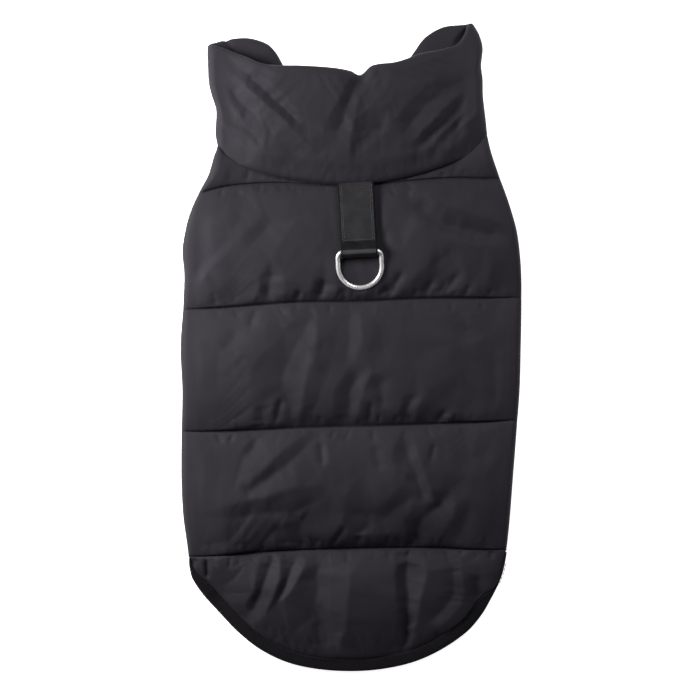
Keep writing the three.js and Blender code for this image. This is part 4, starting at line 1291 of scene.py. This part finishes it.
def paintWebbing():
    look = finishes["webbing"]
    paint = Paint("wovenWebbing", look)
    here = paint.place("UV")
    picks = paint.wave(here, 1.1 * mm, "X")
    ends = paint.wave(here, 1.3 * mm, "Y")
    weave = paint.math("MULTIPLY", picks, paint.ramp(ends, 0.5, 1, 0, 1))
    worn = paint.noise(paint.place("Object"), 120, 4)
    along = paint.add("ShaderNodeSeparateXYZ")
    paint.links.new(here, along.inputs["Vector"])
    fromCrown = paint.math("SUBTRACT", along.outputs["X"], strapPaintedLight["crownAt"])
    fromCrown = paint.math("ABSOLUTE", fromCrown, 0)
    fromMiddle = paint.math("ABSOLUTE", along.outputs["Y"], 0)
    # painted shade: the loop round the ring's bar, up to where the top layer lies flat, is darker
    loop = paint.ramp(along.outputs["X"], -0.4, 0, *strapPaintedLight["loop"])
    # painted highlight: a light band across the loop's crown over the bar
    crownHighlight = paint.ramp(fromCrown, 0.9, 0, *strapPaintedLight["crownHighlight"])
    # painted shadow: dark lines along both selvedges of the webbing
    selvedgeShadow = paint.ramp(fromMiddle, 0, -0.8, *strapPaintedLight["selvedgeShadow"])
    # the painted shade and highlight, added to the webbing's tone
    paintedShadeAndHighlight = paint.math("ADD", loop, crownHighlight)
    paintedShadeAndHighlight = paint.math("ADD", paintedShadeAndHighlight, selvedgeShadow)
    tone = paint.math("ADD", paint.ramp(weave, 0.3, 0.65, 0, 1), paint.ramp(worn, -0.12, 0.15))
    tone = paint.math("ADD", tone, paintedShadeAndHighlight)
    paint.tint(look["colour"], tone)
    paint.normal(paint.bump(weave, 0.25 * mm, 0.6))
    return paint.material


def paintThread(name):
    look = finishes[name]
    paint = Paint(name, look)
    ply = paint.wave(paint.place("Object", (1, 1, 1), (0, 0, 0.7)), 0.35 * mm, "X")
    paint.tint(look["colour"], paint.ramp(ply, 0.8, 1.2, 0, 1))
    paint.normal(paint.bump(ply, 0.05 * mm, 0.5))
    return paint.material


def paintSteel():
    look = finishes["steel"]
    paint = Paint("chromedWire", look)
    scuffs = paint.noise(paint.place("Object", (1, 0.2, 1)), 700, 4)
    worn = paint.noise(paint.place("Object"), 90, 3)
    paint.links.new(paint.ramp(scuffs, 0.24, 0.38), paint.shader.inputs["Roughness"])
    paint.tint(look["colour"], paint.ramp(worn, 0.9, 1.05))
    paint.normal(paint.bump(scuffs, 0.02 * mm, 0.3))
    return paint.material


shell, knit, webbing, steel = paintShell(), paintKnit(), paintWebbing(), paintSteel()
threadPaint, strapThread = paintThread("thread"), paintThread("strapThread")


def dress(obj, paint, body, nodes=()):
    obj.data.materials.append(paint)
    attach(obj, body)
    if nodes:
        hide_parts(*nodes)


for obj, node in (
    (backShell, "back"),
    (tailFlapShell, "tail_flap"),
    (collarShell, "collar"),
    (bellyPanel, "belly"),
):
    dress(obj, shell, "coat", [node])
for obj, node in (
    (tailBinding, "tail_binding"),
    (bellyBinding, "belly_binding"),
    (legBindingLeft, "leg_binding_left"),
    (legBindingRight, "leg_binding_right"),
):
    dress(obj, knit, "coat", [node])
dress(leashStrap, webbing, "coat", ["leash_tab"])
dress(leashRing, steel, "ring", ["leash_ring"])
dress(quiltStitches, threadPaint, "coat")
dress(bindingStitches, threadPaint, "coat")
dress(strapStitches, strapThread, "coat")
print("coat: finishes ready")

# Studio: a pale floor, a camera straight above it and soft light from the top left
studio = {
    "floor": (0.95, 0.95, 0.95),
    "floorSize": 12,
    "floorZ": -0.0006,  # just clear of the coat's underside
    "lens": 100,
    "sensor": 36,
    "height": 1.336,
    "centre": (-0.0007, -0.0019),
    "wall": 0.9,  # pale walls all round, and a dim ceiling
    "wallHeight": 0.42,
    "ceiling": 0.07,
    "glow": 0.9,  # the floor is a lit panel, so it stays white beside the coat
    "key": {"from": (-0.42, 0.15, 0.27), "towards": (-0.16, 0, 0), "size": 0.26, "power": 4.6},
    "fill": {"from": (0.34, 0.46, 0.45), "towards": (0.12, 0.08, 0), "size": 0.4, "power": 2.2},
}


def buildStudio():
    bpy.ops.mesh.primitive_plane_add(size=studio["floorSize"], location=(0, 0, studio["floorZ"]))
    floor = bpy.context.object
    floor.name = "floor"
    paint = Paint("paper", {"colour": studio["floor"], "roughness": 0.8, "specular": 0.1})
    paint.tint(studio["floor"], paint.ramp(paint.noise(paint.place("Object"), 3, 2), 0.995, 1))
    paint.set("Emission Color", (1, 1, 1, 1))
    paint.set("Emission Strength", studio["glow"])
    floor.data.materials.append(paint.material)
    world = bpy.data.worlds.new("studio")
    world.use_nodes = True
    nodes, links = world.node_tree.nodes, world.node_tree.links
    background = nodes["Background"]
    background.inputs["Color"].default_value = (0.97, 0.98, 1, 1)
    direction = nodes.new("ShaderNodeTexCoord")
    height = nodes.new("ShaderNodeSeparateXYZ")
    fade = nodes.new("ShaderNodeMapRange")
    values = (studio["wallHeight"], studio["wall"], studio["ceiling"])
    for key, value in zip(("From Max", "To Min", "To Max"), values):
        fade.inputs[key].default_value = value
    links.new(direction.outputs["Generated"], height.inputs["Vector"])
    links.new(height.outputs["Z"], fade.inputs["Value"])
    links.new(fade.outputs["Result"], background.inputs["Strength"])
    scene.world = world
    for name in ("key", "fill"):
        light = bpy.data.lights.new(name, "AREA")
        light.shape = "DISK"
        light.size = studio[name]["size"]
        light.energy = studio[name]["power"]
        lamp = bpy.data.objects.new(name, light)
        lamp.location = studio[name]["from"]
        beam = Vector(studio[name]["towards"]) - Vector(studio[name]["from"])
        lamp.rotation_euler = beam.to_track_quat("-Z", "Y").to_euler()
        scene.collection.objects.link(lamp)
    lens = bpy.data.cameras.new("camera")
    lens.lens = studio["lens"]
    lens.sensor_width = studio["sensor"]
    camera = bpy.data.objects.new("camera", lens)
    camera.location = (*studio["centre"], studio["height"])
    scene.collection.objects.link(camera)
    scene.camera = camera
    scene.view_settings.view_transform = "Standard"


buildStudio()

print("coat: studio ready")
